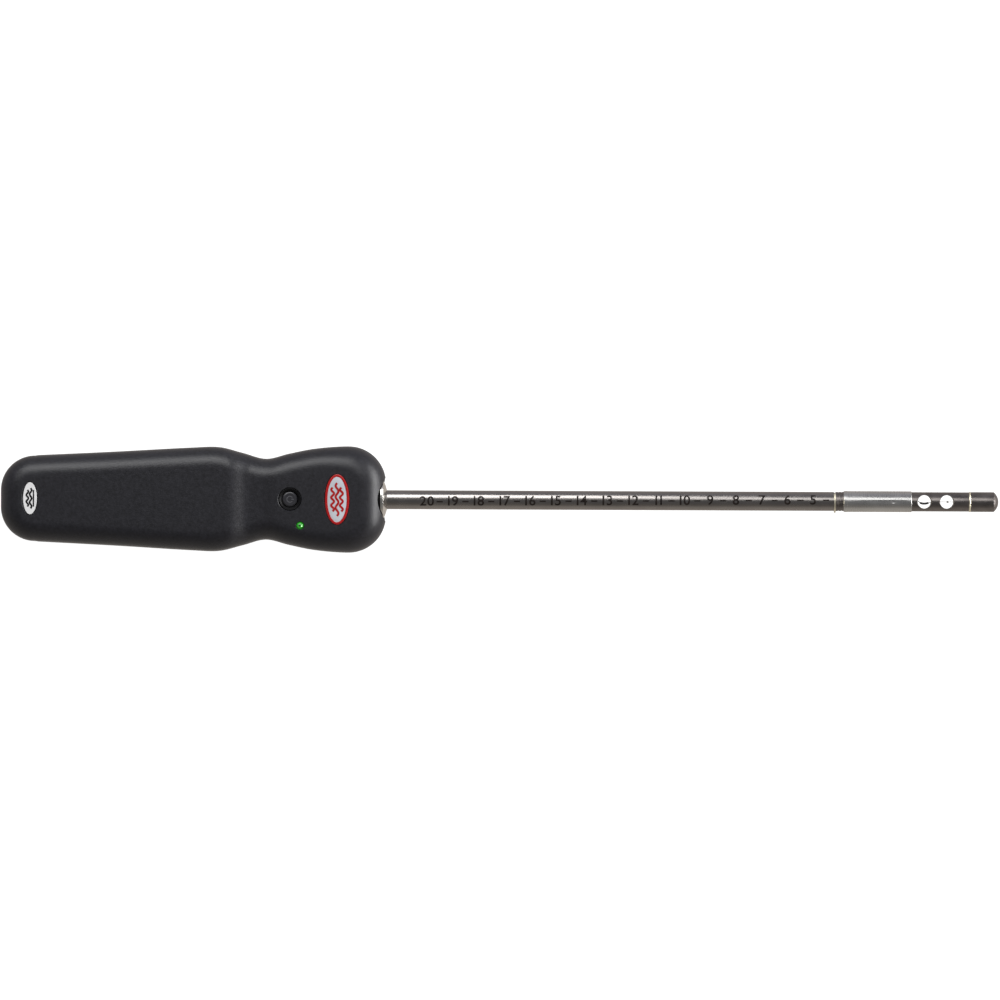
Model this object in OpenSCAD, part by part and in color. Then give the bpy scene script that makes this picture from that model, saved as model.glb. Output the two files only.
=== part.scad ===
// Handheld insertion probe: a battery handle with a graduated steel shaft and a windowed sensor
// head under a sliding guard sleeve. X runs along the shaft towards the tip, Z points up out of
// the button face, and the origin is the centre of the bounding box at the resting face.

/* [Handle] */
// Length of the handle from tail to nose
handle_l = 149.6; // [149.2:0.2:150.6]
// Height of the grip, which holds two AA cells
grip_h = 26; // [26:0.25:27]
// Height of the head at the button
head_h = 24.2; // [24.2:0.1:24.6]
// Height of the thumb valley at the waist
valley_h = 23.3; // [23.3:0.1:23.8]
// Height of the parting plane and of the shaft axis above the resting face
axis_z = 12.4; // [12.4:0.05:12.5]
// Thickness of the moulded walls
wall = 2.2; // [2.1:0.05:2.3]

/* [Shaft] */
// Outside diameter of the graduated shaft
shaft_d = 7.4; // [7.4:0.02:7.44]
// Wall thickness of the shaft tube
shaft_wall = 0.5; // [0.4:0.05:0.5]
// Distance from the tail to the end of the graduated shaft
shaft_end = 323.6; // [322:0.2:324]
// Distance from the tail to the far end of the tip cap
total_l = 387.5; // [387:0.5:389]

/* [Sensor head] */
// Outside diameter of the sensor head, which the sleeve slides over
sensor_d = 7.5; // [7.46:0.02:7.5]
// Diameter of the two through windows
window_d = 5.2; // [5:0.1:5.4]
// Distance from the tail to the first window
window_1 = 358.7; // [358.4:0.1:359]
// Distance from the tail to the second window, the zero of the depth marks
window_2 = 367.4; // [367.2:0.1:367.6]

/* [Guard sleeve] */
// Outside diameter of the sliding guard sleeve
sleeve_d = 8.1; // [8.05:0.05:8.15]
// Length of the guard sleeve
sleeve_l = 26.4; // [26.2:0.1:26.6]
// Distance from the tail to the sleeve's rear end when it is drawn back
sleeve_x = 327.4; // [327.2:0.1:327.6]

/* [Controls] */
// Distance from the tail to the power button
button_x = 112.4; // [112.3:0.1:112.7]
// Diameter of the button cap
button_d = 5.8; // [5.6:0.1:5.9]
// Distance from the tail to the status light
led_x = 116.4; // [116.2:0.1:116.6]
// Distance of the status light from the centre line, on the right
led_off = 10.2; // [10:0.1:10.4]

/* [Hidden] */
$fn = 64;
gap = 0.05;

// Plan outline: the tail and nose are arcs, and the sides pass through these stations.
tail_r = 13.3;
tail_y = 3.3;
nose_r = 14.5;
nose_y = 6.15;
side = [[12.5, 16.7], [44, 18.25], [75, 20.0], [85, 20.15], [94, 17.95], [103, 15.7],
        [112, 17.75], [122, 19.7], [135.1, 20.65]];
// Rounding between the sides and the top, larger at the nose, and the draft below it
side_round = 7.4;
nose_round = 10;
draft = 0.3;
arc_steps = 8;
side_step = 4;
round_steps = 7;

// Cells
cell_d = 14.5;
cell_l = 50.5;
cell_y = 7.4;
cell_z = 9.85;
bay_x0 = 26.0;
bay_x1 = 82.5;
spring_l = bay_x1 - bay_x0 - cell_l;

// Electronics stack
board_z = 16.5;
board_t = 1.6;
board_x0 = 94.5;
board_x1 = 127;
board_w = 24.4;
board_top = board_z + board_t;
board_holes = [[97.5, 9.3], [124, 9.3]];
power_x0 = 95.6;
sensor_plug_x = [115.2, 121];

// Fasteners
tail_screw = [8.8, 8.6];
head_screw = [136.8, 12.6];
cradle_holes = [[21.2, 9], [87.4, 9]];
door_screw_x = [20.8, 87.8];
door_x0 = 16.5;
door_x1 = 92;
door_w = 30.2;
door_lip_z = 4;

// Nose: the collar is clamped round the bulkhead, and the seal sits between its seat and the flange
collar_flange_r = 7.7;
collar_flange_x = 147.4;
dome_base_x = 148.5;
dome_h = 1.9;
collar_neck_r = 5.6;
cord_r = 0.9;
nose_hole_r = 8.4;
bulkhead_x0 = 138.7;
bulkhead_x1 = 143.9;
bulkhead_w = 20;
seat_x = collar_flange_x - 2 * cord_r - 0.1;
lock_ring_x = 132.3;
lock_ring_r = 6.4;
lock_screw_r = 1.25;

// Sensor head
clip_x = shaft_end + 0.05;
clip_t = 0.6;
clip_r = 4.4;
ring_groove_x = 350.2;
carrier_x0 = 353.6;
spigot_x = 372.6;
spigot_r = 1.5;
front_ring_x = 376.0;
tip_cap_x = 376.8;
tip_cap_r = 3.85;
ring_r = 3.98;
cable_r = 1.2;

// Badge and label: half axes of each and of its pocket
badge_x = 130.7;
badge_half = [4.72, 9.77];
badge_pocket = [4.8, 9.85];
label_x = 11.7;
label_half = [2.66, 6.22];
label_pocket = [3.1, 6.65];

// Screws: head radius, head height and shank radius
case_screw = [2.35, 1.7, 1.25];
small_screw = [1.9, 1.3, 0.95];

shaft_r = shaft_d / 2;
bore_r = shaft_r - shaft_wall;
sensor_r = sensor_d / 2;
sleeve_r = sleeve_d / 2;
led_xy = [led_x, -led_off];

// ---------------------------------------------------------------- shared helpers

// Everything is drawn with x measured from the tail, then centred.
module place() {
    translate([-total_l / 2, 0, 0]) children();
}

// A solid turned about the shaft axis: its profile is [distance along the axis, radius]
module turned(profile) {
    translate([0, 0, axis_z]) rotate([0, 90, 0]) rotate([0, 0, 180])
        rotate_extrude($fn = 96) polygon([for (p = profile) [p[1], p[0]]]);
}

module along_x(x0, x1, r, y = 0, z = axis_z) {
    translate([x0, y, z]) rotate([0, 90, 0]) cylinder(r = r, h = x1 - x0);
}

module along_y(x, y0, y1, r, z = 0) {
    translate([x, y0, z]) rotate([-90, 0, 0]) cylinder(r = r, h = y1 - y0);
}

module upright(xy, z0, z1, r) {
    translate([xy[0], xy[1], z0]) cylinder(r = r, h = z1 - z0);
}

module block(x0, x1, y0, y1, z0, z1) {
    translate([x0, y0, z0]) cube([x1 - x0, y1 - y0, z1 - z0]);
}

module both_sides() {
    children();
    mirror([0, 1, 0]) children();
}

// A round wire swept along a path of points; ref is never parallel to the path
module sweep(path, r, ref, sides = 8) {
    n = len(path);
    function along(k) = unit(path[min(k + 1, n - 1)] - path[max(k - 1, 0)]);
    points = [for (k = [0 : n - 1], s = [0 : sides - 1])
        let (u = unit(cross(along(k), ref)), v = cross(u, along(k)), b = 360 * s / sides)
        path[k] + r * (cos(b) * u + sin(b) * v)];
    faces = concat(
        [[for (s = [0 : sides - 1]) s]],
        [for (k = [0 : n - 2], s = [0 : sides - 1], half = [0, 1])
            let (t = (s + 1) % sides, i = k * sides, j = i + sides)
            half == 0 ? [i + s, j + s, j + t] : [i + s, j + t, i + t]],
        [[for (s = [sides - 1 : -1 : 0]) (n - 1) * sides + s]]);
    polyhedron(points = points, faces = faces, convexity = 8);
}

module ellipse_plate(x, half, z0, z1) {
    translate([x, 0, z0]) linear_extrude(z1 - z0)
        polygon([for (a = [0 : 7.5 : 359]) [half[0] * cos(a), half[1] * sin(a)]]);
}

// Cross-head screw standing head down: the head's seat is at z
module screw(xy, z, size, shank_l) {
    head_r = size[0];
    head_t = size[1];
    difference() {
        union() {
            upright(xy, z - head_t, z, head_r);
            upright(xy, z - 0.01, z + shank_l, size[2]);
        }
        for (turn = [0, 90])
            translate([xy[0], xy[1], z - head_t]) rotate(turn)
                cube([head_r * 1.25, head_r * 0.3, head_t], center = true);
    }
}

// ---------------------------------------------------------------- handle surface

function hermite(p, q, m0, m1, t) =
    let (h = q[0] - p[0])
    (2 * t * t * t - 3 * t * t + 1) * p[1] + (t * t * t - 2 * t * t + t) * h * m0
    + (3 * t * t - 2 * t * t * t) * q[1] + (t * t * t - t * t) * h * m1;

function slope(s, i) =
    i == len(s) - 1 ? 0
    : i == 0 ? (s[1][1] - s[0][1]) / (s[1][0] - s[0][0])
    : (s[i + 1][1] - s[i - 1][1]) / (s[i + 1][0] - s[i - 1][0]);

function smooth(a, b, x) = let (t = min(1, max(0, (x - a) / (b - a)))) t * t * (3 - 2 * t);

// Heights of the top and bottom surfaces at x
function crest(x) =
    grip_h - (grip_h - valley_h) * smooth(88, 97, x) + (head_h - valley_h) * smooth(100.5, 108, x)
    - 0.5 * smooth(112, handle_l, x);
function keel(x) = 1.1 * (smooth(90, 99, x) - smooth(101, 110, x));

// Half of the plan outline, from the middle of the tail round to the middle of the nose
tail_arc = [for (i = [0 : arc_steps]) let (a = 90 * i / arc_steps)
    [tail_r * (1 - cos(a)) , tail_y + tail_r * sin(a)]];
nose_arc = [for (i = [1 : arc_steps]) let (a = 90 * (1 - i / arc_steps))
    [handle_l - nose_r * (1 - cos(a)), nose_y + nose_r * sin(a)]];
side_run = [for (i = [0 : len(side) - 2], k = [(i == 0 ? 1 : 0) : side_step - 1])
    let (t = k / side_step)
    [side[i][0] + t * (side[i + 1][0] - side[i][0]),
     hermite(side[i], side[i + 1], slope(side, i), slope(side, i + 1), t)]];
half_outline = concat([[0, 0]], tail_arc, [for (p = side_run) if (p[0] > tail_r + 1) p],
    [side[len(side) - 1]], nose_arc, [[handle_l, 0]]);
half_n = len(half_outline) - 1;
ring_n = 2 * half_n;

function unit(v) = v / norm(v);
function outward(i) =
    i == 0 ? [-1, 0]
    : i == half_n ? [1, 0]
    : let (d = unit(half_outline[i + 1] - half_outline[i - 1])) [-d[1], d[0]];
function rounding(x) = side_round + (nose_round - side_round) * smooth(122, 146, x);

// One ring of the surface: inset by the wall, at angle a of the rounding, above or below
function ring(up, inset, a) = [for (j = [0 : ring_n - 1])
    let (i = j <= half_n ? j : ring_n - j,
         s = j <= half_n ? 1 : -1,
         r = rounding(half_outline[i][0]) - inset,
         d = inset + (a < 0 ? 0 : draft + r * (1 - cos(a))),
         p = half_outline[i] - d * outward(i),
         top = up > 0 ? crest(p[0]) - inset : keel(p[0]) + inset)
    [p[0], s * p[1], a < 0 ? axis_z : top - up * r * (1 - sin(a))]];

function rounding_angles() = [for (k = [0 : round_steps]) 90 * k / round_steps];

// Closed half of the handle, hollow when the wall is given
module half_shell(up, hollow) {
    outer = [ring(up, 0, -1), for (a = rounding_angles()) ring(up, 0, a)];
    inner = hollow ? [for (k = [round_steps : -1 : 0]) ring(up, wall, 90 * k / round_steps),
                      ring(up, wall, -1)] : [];
    rings = concat(outer, inner);
    n = len(rings);
    function cap(base, flip) = [for (i = [0 : half_n - 1])
        let (q = i == 0 ? [0, 1, ring_n - 1]
                : i == half_n - 1 ? [i, half_n, ring_n - i]
                : [i, i + 1, ring_n - i - 1, ring_n - i],
             f = [for (v = q) v + base * ring_n])
        flip ? [for (k = [len(f) - 1 : -1 : 0]) f[k]] : f];
    function band(a, b, flip) = [for (j = [0 : ring_n - 1], half = [0, 1])
        let (k = (j + 1) % ring_n,
             f = half == 0 ? [a * ring_n + j, b * ring_n + k, b * ring_n + j]
                           : [a * ring_n + j, a * ring_n + k, b * ring_n + k])
        flip ? [f[2], f[1], f[0]] : f];
    flip = up < 0;
    last = len(outer) - 1;
    faces = concat(
        [for (k = [0 : last - 1]) each band(k, k + 1, flip)],
        cap(last, flip),
        hollow ? [for (k = [last + 1 : n - 2]) each band(k, k + 1, flip)] : [],
        hollow ? cap(last + 1, !flip) : cap(0, !flip),
        hollow ? band(n - 1, 0, flip) : []);
    polyhedron(points = [for (r = rings) each r], faces = faces, convexity = 6);
}

// ---------------------------------------------------------------- handle shells

// Solid part of the bulkhead and its round seat for the seal, between two heights
module bulkhead(z0, z1) {
    block(bulkhead_x0, bulkhead_x1, -bulkhead_w / 2, bulkhead_w / 2, z0, z1);
    intersection() {
        along_x(bulkhead_x1 - 1, seat_x, nose_hole_r + 0.2);
        block(bulkhead_x1 - 1, seat_x, -bulkhead_w / 2, bulkhead_w / 2, z0, z1);
    }
}

// Bore for the collar's neck and the wider opening in front of the seat
module nose_opening() {
    along_x(bulkhead_x0 - 1, seat_x + 0.1, collar_neck_r + gap);
    along_x(seat_x, handle_l + 2, nose_hole_r);
}

module upper_shell() {
    color([0.13, 0.13, 0.15]) place() difference() {
        union() {
            half_shell(1, true);
            both_sides() {
                upright(tail_screw, axis_z, grip_h - 2, 3.1);
                upright(head_screw, axis_z, head_h - 2.2, 3.1);
                for (h = cradle_holes) upright(h, cell_z + cell_d / 2 + 1.3, crest(h[0]) - 1.5, 2.2);
                for (h = board_holes) upright(h, board_top, crest(h[0]) - 1.5, 2.1);
            }
            bulkhead(axis_z, head_h - 2.4);
        }
        both_sides() {
            upright(tail_screw, axis_z - 1, axis_z + 9.5, 1.3);
            upright(head_screw, axis_z - 1, axis_z + 8.5, 1.3);
            for (h = cradle_holes) upright(h, 17, crest(h[0]) - 2.2, 1.0);
            for (h = board_holes) upright(h, board_z, crest(h[0]) - 2.2, 1.0);
        }
        nose_opening();
        upright([button_x, 0], head_h - 4, head_h + 1, bezel_r + gap);
        upright(led_xy, head_h - 4, head_h + 1, led_r + gap);
        ellipse_plate(badge_x, badge_pocket, crest(badge_x) - 0.45, head_h + 1);
        ellipse_plate(label_x, label_pocket, grip_h - 0.35, grip_h + 1);
    }
}

module lower_shell() {
    color([0.12, 0.12, 0.14]) place() difference() {
        union() {
            half_shell(-1, true);
            both_sides() {
                upright(tail_screw, 2, axis_z, 3.4);
                upright(head_screw, 2, axis_z, 3.4);
            }
            bulkhead(2, axis_z);
        }
        both_sides() for (xy = [tail_screw, head_screw]) {
            upright(xy, -1, 7.0, 2.6);
            upright(xy, 6.9, axis_z + 1, 1.45);
        }
        nose_opening();
        door_outline(0.2, door_lip_z + 0.2);
    }
}

module housing_screws() {
    color("dimgray") place() both_sides() for (xy = [tail_screw, head_screw])
        screw(xy, 7, case_screw, 12);
}

// Prism that cuts the battery door out of the lower shell
module door_outline(grow, top) {
    corner = 4;
    translate([0, 0, -1]) linear_extrude(top + 1) union() {
        for (x = [door_x0 + corner, door_x1 - corner], y = [-1, 1])
            translate([x, y * (door_w / 2 - corner)]) circle(r = corner + grow);
        translate([door_x0 - grow, -door_w / 2 + corner])
            square([door_x1 - door_x0 + 2 * grow, door_w - 2 * corner]);
        translate([door_x0 + corner, -door_w / 2 - grow])
            square([door_x1 - door_x0 - 2 * corner, door_w + 2 * grow]);
    }
}

module battery_door() {
    color([0.12, 0.12, 0.14]) place() difference() {
        union() {
            intersection() {
                half_shell(-1, true);
                door_outline(0, door_lip_z);
            }
            for (x = door_screw_x) upright([x, 0], 1.0, 4.9, 3.2);
        }
        for (x = door_screw_x) {
            upright([x, 0], -1, 2.6, 2.6);
            upright([x, 0], 2.5, 6, 1.45);
        }
        // Thumb groove at the tail end, for lifting the door
        for (k = [0 : 2]) along_y(door_x0 + 9.6 + 2.2 * k, -6, 6, 0.5);
    }
}

module door_screws() {
    color("dimgray") place() for (x = door_screw_x) screw([x, 0], 2.6, case_screw, 8);
}

// ---------------------------------------------------------------- controls

bezel_r = 4.35;
led_r = 1.5;
bezel_top = head_h - 0.12;
flange_top = head_h - wall - 0.15;
button_flange_z = flange_top - 1.55;
switch_top = board_top + 1.7;
led_foot = board_top + 1.1;

module button_bezel() {
    color([0.1, 0.1, 0.11]) place() translate([button_x, 0, 0]) difference() {
        union() {
            cylinder(r = bezel_r, h = bezel_top);
            cylinder(r = 5.4, h = flange_top);
        }
        translate([0, 0, -1]) cylinder(r = 5.6, h = flange_top - 0.75 + 1);
        cylinder(r = button_d / 2 + 0.25, h = head_h + 1);
        translate([0, 0, bezel_top - 0.8]) cylinder(r1 = button_d / 2 + 0.25, r2 = 4.1, h = 0.801);
    }
}

module power_button() {
    color([0.15, 0.15, 0.17]) place() translate([button_x, 0, 0]) difference() {
        union() {
            translate([0, 0, button_flange_z]) cylinder(r = 4.2, h = 0.75);
            translate([0, 0, button_flange_z]) cylinder(r = button_d / 2, h = 3.0);
            translate([0, 0, button_flange_z + 3.0])
                cylinder(r1 = button_d / 2, r2 = button_d / 2 - 0.35, h = 0.35);
        }
        // Ring of the power symbol, sunk into the cap
        translate([0, 0, button_flange_z + 3.15]) difference() {
            cylinder(r = 1.35, h = 1);
            translate([0, 0, -1]) cylinder(r = 1.05, h = 3);
        }
    }
}

module switch_plunger() {
    color([0.85, 0.85, 0.8]) place()
        upright([button_x, 0], switch_top - 0.6, button_flange_z, 1.5);
}

module tact_switch() {
    color([0.2, 0.2, 0.2]) place() difference() {
        block(button_x - 3, button_x + 3, -3, 3, board_top, switch_top);
        upright([button_x, 0], board_top + 0.4, switch_top + 1, 1.8);
    }
}

module status_led() {
    dome_z = head_h + 0.25 - led_r;
    color([0.2, 0.85, 0.25]) place() difference() {
        union() {
            upright(led_xy, led_foot, dome_z, led_r);
            upright(led_xy, led_foot, led_foot + 0.8, led_r + 0.4);
            translate([led_xy[0], led_xy[1], dome_z]) sphere(r = led_r);
        }
        upright(led_xy, board_top, led_foot, led_r + 1);
    }
}

module led_leads() {
    color("silver") place() for (s = [-1, 1])
        upright(led_xy + [0.9 * s, 0], board_top, led_foot, 0.25);
}

// ---------------------------------------------------------------- electronics

module main_board() {
    color([0.05, 0.35, 0.16]) place() difference() {
        block(board_x0, board_x1, -board_w / 2, board_w / 2, board_z, board_top);
        both_sides() for (h = board_holes) upright(h, board_z - 1, board_top + 1, 1.15);
    }
}

module board_screws() {
    color("silver") place() both_sides() for (h = board_holes)
        screw(h, board_z, small_screw, crest(h[0]) - 3 - board_z);
}

module radio_module() {
    color([0.75, 0.75, 0.77]) place() {
        block(116.9, 126.8, -6.2, 6.2, board_top, board_top + 0.8);
        block(118.2, 126.2, -5.6, 3.4, board_top + 0.8, board_top + 2.6);
        block(118.6, 125.8, 4.1, 5.6, board_top + 0.8, board_top + 1.6);
    }
}

module microcontroller() {
    color([0.1, 0.1, 0.1]) place() block(101, 108, -3.5, 3.5, board_z - 1.2, board_z);
}

module signal_chip() {
    color([0.1, 0.1, 0.1]) place() block(109.6, 113.5, -2.5, 2.5, board_z - 1.5, board_z);
}

module power_connector() {
    color([0.92, 0.9, 0.82]) place() block(power_x0, power_x0 + 3.8, -4, 4, board_top, board_top + 2.6);
}

module sensor_connector() {
    color([0.92, 0.9, 0.82]) place() block(sensor_plug_x[0], sensor_plug_x[1], -4, 4, axis_z - 1.7, board_z);
}

// ---------------------------------------------------------------- battery bay

module battery_cradle() {
    plate_z = cell_z + cell_d / 2 - 0.2;
    roof_z = cell_z + cell_d / 2 + 1.3;
    end_wall = [[-11.2, 2.7], [11.2, 2.7], [14.5, 7], [14.5, roof_z], [-14.5, roof_z], [-14.5, 7]];
    color([0.3, 0.3, 0.32]) place() difference() {
        union() {
            block(bay_x0 - 1.9, bay_x1 + 1.9, -14.5, 14.5, 12.7, roof_z);
            for (x = [bay_x0 - 1.9, bay_x1 + 0.4]) translate([x, 0, 0]) rotate([90, 0, 90])
                linear_extrude(1.5) polygon(end_wall);
            block(18.4, bay_x0 - 1.5, -12, 12, plate_z, roof_z);
            block(bay_x1 + 1.5, 90.4, -12, 12, plate_z, roof_z);
            for (x = door_screw_x) upright([x, 0], 5, plate_z + 0.5, 3);
            block(door_screw_x[0], bay_x0 - 1.8, -1.2, 1.2, 5, plate_z + 0.3);
            block(bay_x1 + 1.8, door_screw_x[1], -1.2, 1.2, 5, plate_z + 0.3);
        }
        both_sides() along_x(bay_x0 - 0.4, bay_x1 + 0.4, cell_d / 2 + 0.15, cell_y, cell_z);
        for (x = door_screw_x) upright([x, 0], 4, 12.5, 1.3);
        both_sides() for (h = cradle_holes) upright(h, plate_z - 2, roof_z + 1, 1.15);
        // Slots for the contact plates and their solder tabs
        block(bay_x0 - 0.42, bay_x0, -12.2, 12.2, 3.5, roof_z - 0.9);
        both_sides() block(bay_x1, bay_x1 + 0.42, 1.7, 12.2, 3.5, roof_z - 0.9);
        both_sides() block(bay_x1, bay_x1 + 0.42, 5, 7, 3.5, roof_z + 1);
    }
}

module cradle_screws() {
    color("silver") place() both_sides() for (h = cradle_holes)
        screw(h, cell_z + cell_d / 2 - 0.2, small_screw, 5.6);
}

// An AA cell with its positive end towards +X when turn is 1
module cell(x0, y, turn) {
    translate([x0, y, cell_z]) rotate([0, 90, 0]) {
        nub = 1.2;
        body_z = turn > 0 ? 0 : nub;
        nub_z = turn > 0 ? cell_l - nub - 0.01 : 0;
        translate([0, 0, body_z]) cylinder(r = cell_d / 2 - 0.05, h = cell_l - nub);
        translate([0, 0, nub_z]) cylinder(r = 2.75, h = nub + 0.01);
    }
}

module battery_cell_left() {
    color([0.85, 0.55, 0.2]) place() cell(bay_x0 + spring_l, cell_y, 1);
}

module battery_cell_right() {
    color([0.85, 0.55, 0.2]) place() cell(bay_x0, -cell_y, -1);
}

// Conical spring between x0 and x1, wide at x0
module cone_spring(x0, x1, y) {
    turns = 4;
    wire_r = 0.35;
    steps = 12 * turns;
    run = x1 - x0;
    end = wire_r * run / abs(run);
    sweep([for (k = [0 : steps])
        let (t = k / steps, a = 360 * turns * t, r = 4.6 - 1.4 * t)
        [x0 + end + t * (run - 2 * end), y + r * cos(a), cell_z + r * sin(a)]],
        wire_r, [1, 0, 0], 6);
}

module spring_contact_left() {
    color("silver") place() cone_spring(bay_x0, bay_x0 + spring_l, cell_y);
}

module spring_contact_right() {
    color("silver") place() cone_spring(bay_x1, bay_x1 - spring_l, -cell_y);
}

module contact_plate(x, y0, y1) {
    block(x, x + 0.38, y0, y1, 4.2, 15.4);
}

module series_link_plate() {
    color("silver") place() contact_plate(bay_x0 - 0.39, -12, 12);
}

module end_plate(y0, y1, tab_y) {
    contact_plate(bay_x1 + 0.01, y0, y1);
    block(bay_x1 + 0.01, bay_x1 + 0.39, tab_y - 0.9, tab_y + 0.9, 15, 19.7);
}

module positive_plate() {
    color("silver") place() end_plate(1.9, 12, 6);
}

module negative_plate() {
    color("silver") place() end_plate(-12, -1.9, -6);
}

// From the solder tab over the cradle to the power connector
module battery_lead(s) {
    x0 = bay_x1 + 0.42;
    x1 = power_x0 - 0.02;
    steps = 12;
    sweep([for (k = [0 : steps]) let (t = k / steps, u = smooth(0, 1, t))
        [x0 + t * (x1 - x0), s * (6 - 4 * u), 19.1 + pow(sin(180 * t), 2) + 0.3 * u]],
        0.5, [0, 0, 1]);
}

module red_lead() {
    color("red") place() battery_lead(1);
}

module black_lead() {
    color([0.05, 0.05, 0.05]) place() battery_lead(-1);
}

// ---------------------------------------------------------------- nose

module nose_collar() {
    lock_x = 136;
    dome_r = (pow(collar_flange_r, 2) + pow(dome_h, 2)) / (2 * dome_h);
    tip_x = dome_base_x + dome_h;
    bore = shaft_r + 0.02;
    dome = [for (k = [0 : 10]) let (r = collar_flange_r - (collar_flange_r - bore) * k / 10)
        [tip_x - dome_r + sqrt(dome_r * dome_r - r * r), r]];
    color([0.78, 0.76, 0.73]) place() turned(concat(
        [[lock_x, bore], [lock_x, 7], [bulkhead_x0 - 0.1, 7], [bulkhead_x0 - 0.1, collar_neck_r],
         [collar_flange_x, collar_neck_r], [collar_flange_x, collar_flange_r]], dome));
}

module collar_o_ring() {
    color([0.06, 0.06, 0.06]) place() translate([collar_flange_x - cord_r - 0.02, 0, axis_z])
        rotate([0, 90, 0]) rotate_extrude() translate([collar_neck_r + cord_r + 0.02, 0])
            circle(r = cord_r, $fn = 32);
}

module shaft_lock_ring() {
    half_l = 3.5;
    bore = shaft_r + 0.02;
    edge = 0.4;
    x = [lock_ring_x - half_l, lock_ring_x + half_l];
    color([0.6, 0.6, 0.62]) place() difference() {
        turned([[x[0], bore], [x[0], lock_ring_r - edge], [x[0] + edge, lock_ring_r],
                [x[1] - edge, lock_ring_r], [x[1], lock_ring_r - edge], [x[1], bore]]);
        upright([lock_ring_x, 0], axis_z, axis_z + 8, lock_screw_r + gap);
    }
}

module lock_ring_screw() {
    color([0.2, 0.2, 0.2]) place() difference() {
        upright([lock_ring_x, 0], axis_z + shaft_r, axis_z + lock_ring_r - 0.2, lock_screw_r);
        translate([lock_ring_x, 0, axis_z + 5]) cylinder(r = 0.72, h = 3, $fn = 6);
    }
}

// ---------------------------------------------------------------- shaft and sensor head

module probe_shaft() {
    color([0.55, 0.52, 0.5]) place() turned([[127.6, bore_r], [127.6, shaft_r],
        [shaft_end, shaft_r], [shaft_end, bore_r]]);
}

module sensor_cable() {
    color([0.2, 0.2, 0.22]) place() along_x(sensor_plug_x[1], carrier_x0 - gap, cable_r);
}

// Retaining clip that stops the sleeve from leaving the head rearwards, open on the left
module shaft_clip() {
    color([0.75, 0.7, 0.55]) place() difference() {
        along_x(clip_x, clip_x + clip_t, clip_r);
        along_x(clip_x - 1, clip_x + 2, shaft_r - 0.28);
        translate([clip_x - 1, 0, axis_z]) rotate([-45, 0, 0]) cube([3, 8, 8]);
    }
}

module sensor_head() {
    spigot_x0 = 312;
    plug_r = bore_r - 0.03;
    clip_seat_r = shaft_r - 0.3;
    head_x = clip_x + clip_t + gap;
    wire_way_r = cable_r + 0.4;
    carrier_r = 3.1;
    groove = [ring_groove_x - 0.45, ring_groove_x + 0.45];
    groove_r = 2.9;
    color([0.4, 0.37, 0.36]) place() difference() {
        turned([[spigot_x0, wire_way_r], [spigot_x0, plug_r], [shaft_end + 0.02, plug_r],
                [shaft_end + 0.02, clip_seat_r], [head_x, clip_seat_r], [head_x, sensor_r],
                [groove[0], sensor_r], [groove[0], groove_r], [groove[1], groove_r],
                [groove[1], sensor_r], [front_ring_x, sensor_r], [front_ring_x, carrier_r],
                [carrier_x0 - 0.1, carrier_r], [carrier_x0 - 0.1, wire_way_r]]);
        for (x = [window_1, window_2]) {
            upright([x, 0], 0, 2 * axis_z, window_d / 2);
            // Broken edges of the windows
            for (turn = [0, 180]) translate([x, 0, axis_z]) rotate([turn, 0, 0])
                translate([0, 0, sensor_r - 0.28])
                    cylinder(r1 = window_d / 2 - 0.02, r2 = window_d / 2 + 0.42, h = 0.45);
        }
    }
}

module sensor_carrier() {
    color([0.88, 0.87, 0.82]) place() difference() {
        along_x(carrier_x0, front_ring_x - 0.05, 3.05);
        for (x = [window_1, window_2]) upright([x, 0], 0, 2 * axis_z, window_d / 2 + 0.02);
        along_x(carrier_x0 - 1, window_1, 0.9);
        along_x(spigot_x - 0.1, front_ring_x, spigot_r + gap);
    }
}

// A sensing bead on a bowed lead wire across a window
module velocity_sensor() {
    bow = 4.2;
    low = 0.7;
    bead_r = 0.42;
    lead_r = 0.13;
    half_arc = 23;
    color([0.08, 0.08, 0.1]) place() translate([window_1, bow - low, axis_z]) {
        rotate([0, 0, 270 - half_arc]) rotate_extrude(angle = 2 * half_arc)
            translate([bow, 0]) circle(r = bead_r, $fn = 24);
        for (s = [-1, 1]) rotate([0, 0, 270 + half_arc * s]) translate([bow, 0, 0])
            rotate([-90 * s, 0, 0]) rotate([0, 20 * s, 0]) cylinder(r = lead_r, h = 1.1);
    }
}

module temperature_sensor() {
    color([0.8, 0.8, 0.78]) place() {
        along_x(window_2 - window_d / 2 - 0.1, window_2 + window_d / 2 + 0.1, 0.1);
        translate([window_2 + 0.4, 0, axis_z]) sphere(r = 0.42, $fn = 24);
    }
}

module sleeve_friction_ring() {
    section_r = 0.38;
    color([0.06, 0.06, 0.06]) place() translate([ring_groove_x, 0, axis_z]) rotate([0, 90, 0])
        rotate_extrude() translate([sensor_r + 0.01 - section_r, 0]) circle(r = section_r, $fn = 24);
}

module guard_sleeve() {
    inner = sensor_r + 0.06;
    end_x = sleeve_x + sleeve_l;
    band_r = sleeve_r + 0.05;
    band_l = 1.2;
    dimple_x = sleeve_x + 19.3;
    dimple_r = 3;
    dimple_deep = 0.14;
    color([0.8, 0.79, 0.77]) place() difference() {
        turned([[sleeve_x, inner], [sleeve_x, sleeve_r - 0.12], [sleeve_x + 0.15, band_r],
                [sleeve_x + band_l, band_r], [sleeve_x + band_l + 0.15, sleeve_r],
                [end_x - 0.12, sleeve_r], [end_x, sleeve_r - 0.1], [end_x, inner]]);
        translate([dimple_x, 0, axis_z + sleeve_r + dimple_r - dimple_deep]) sphere(r = dimple_r);
    }
}

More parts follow.
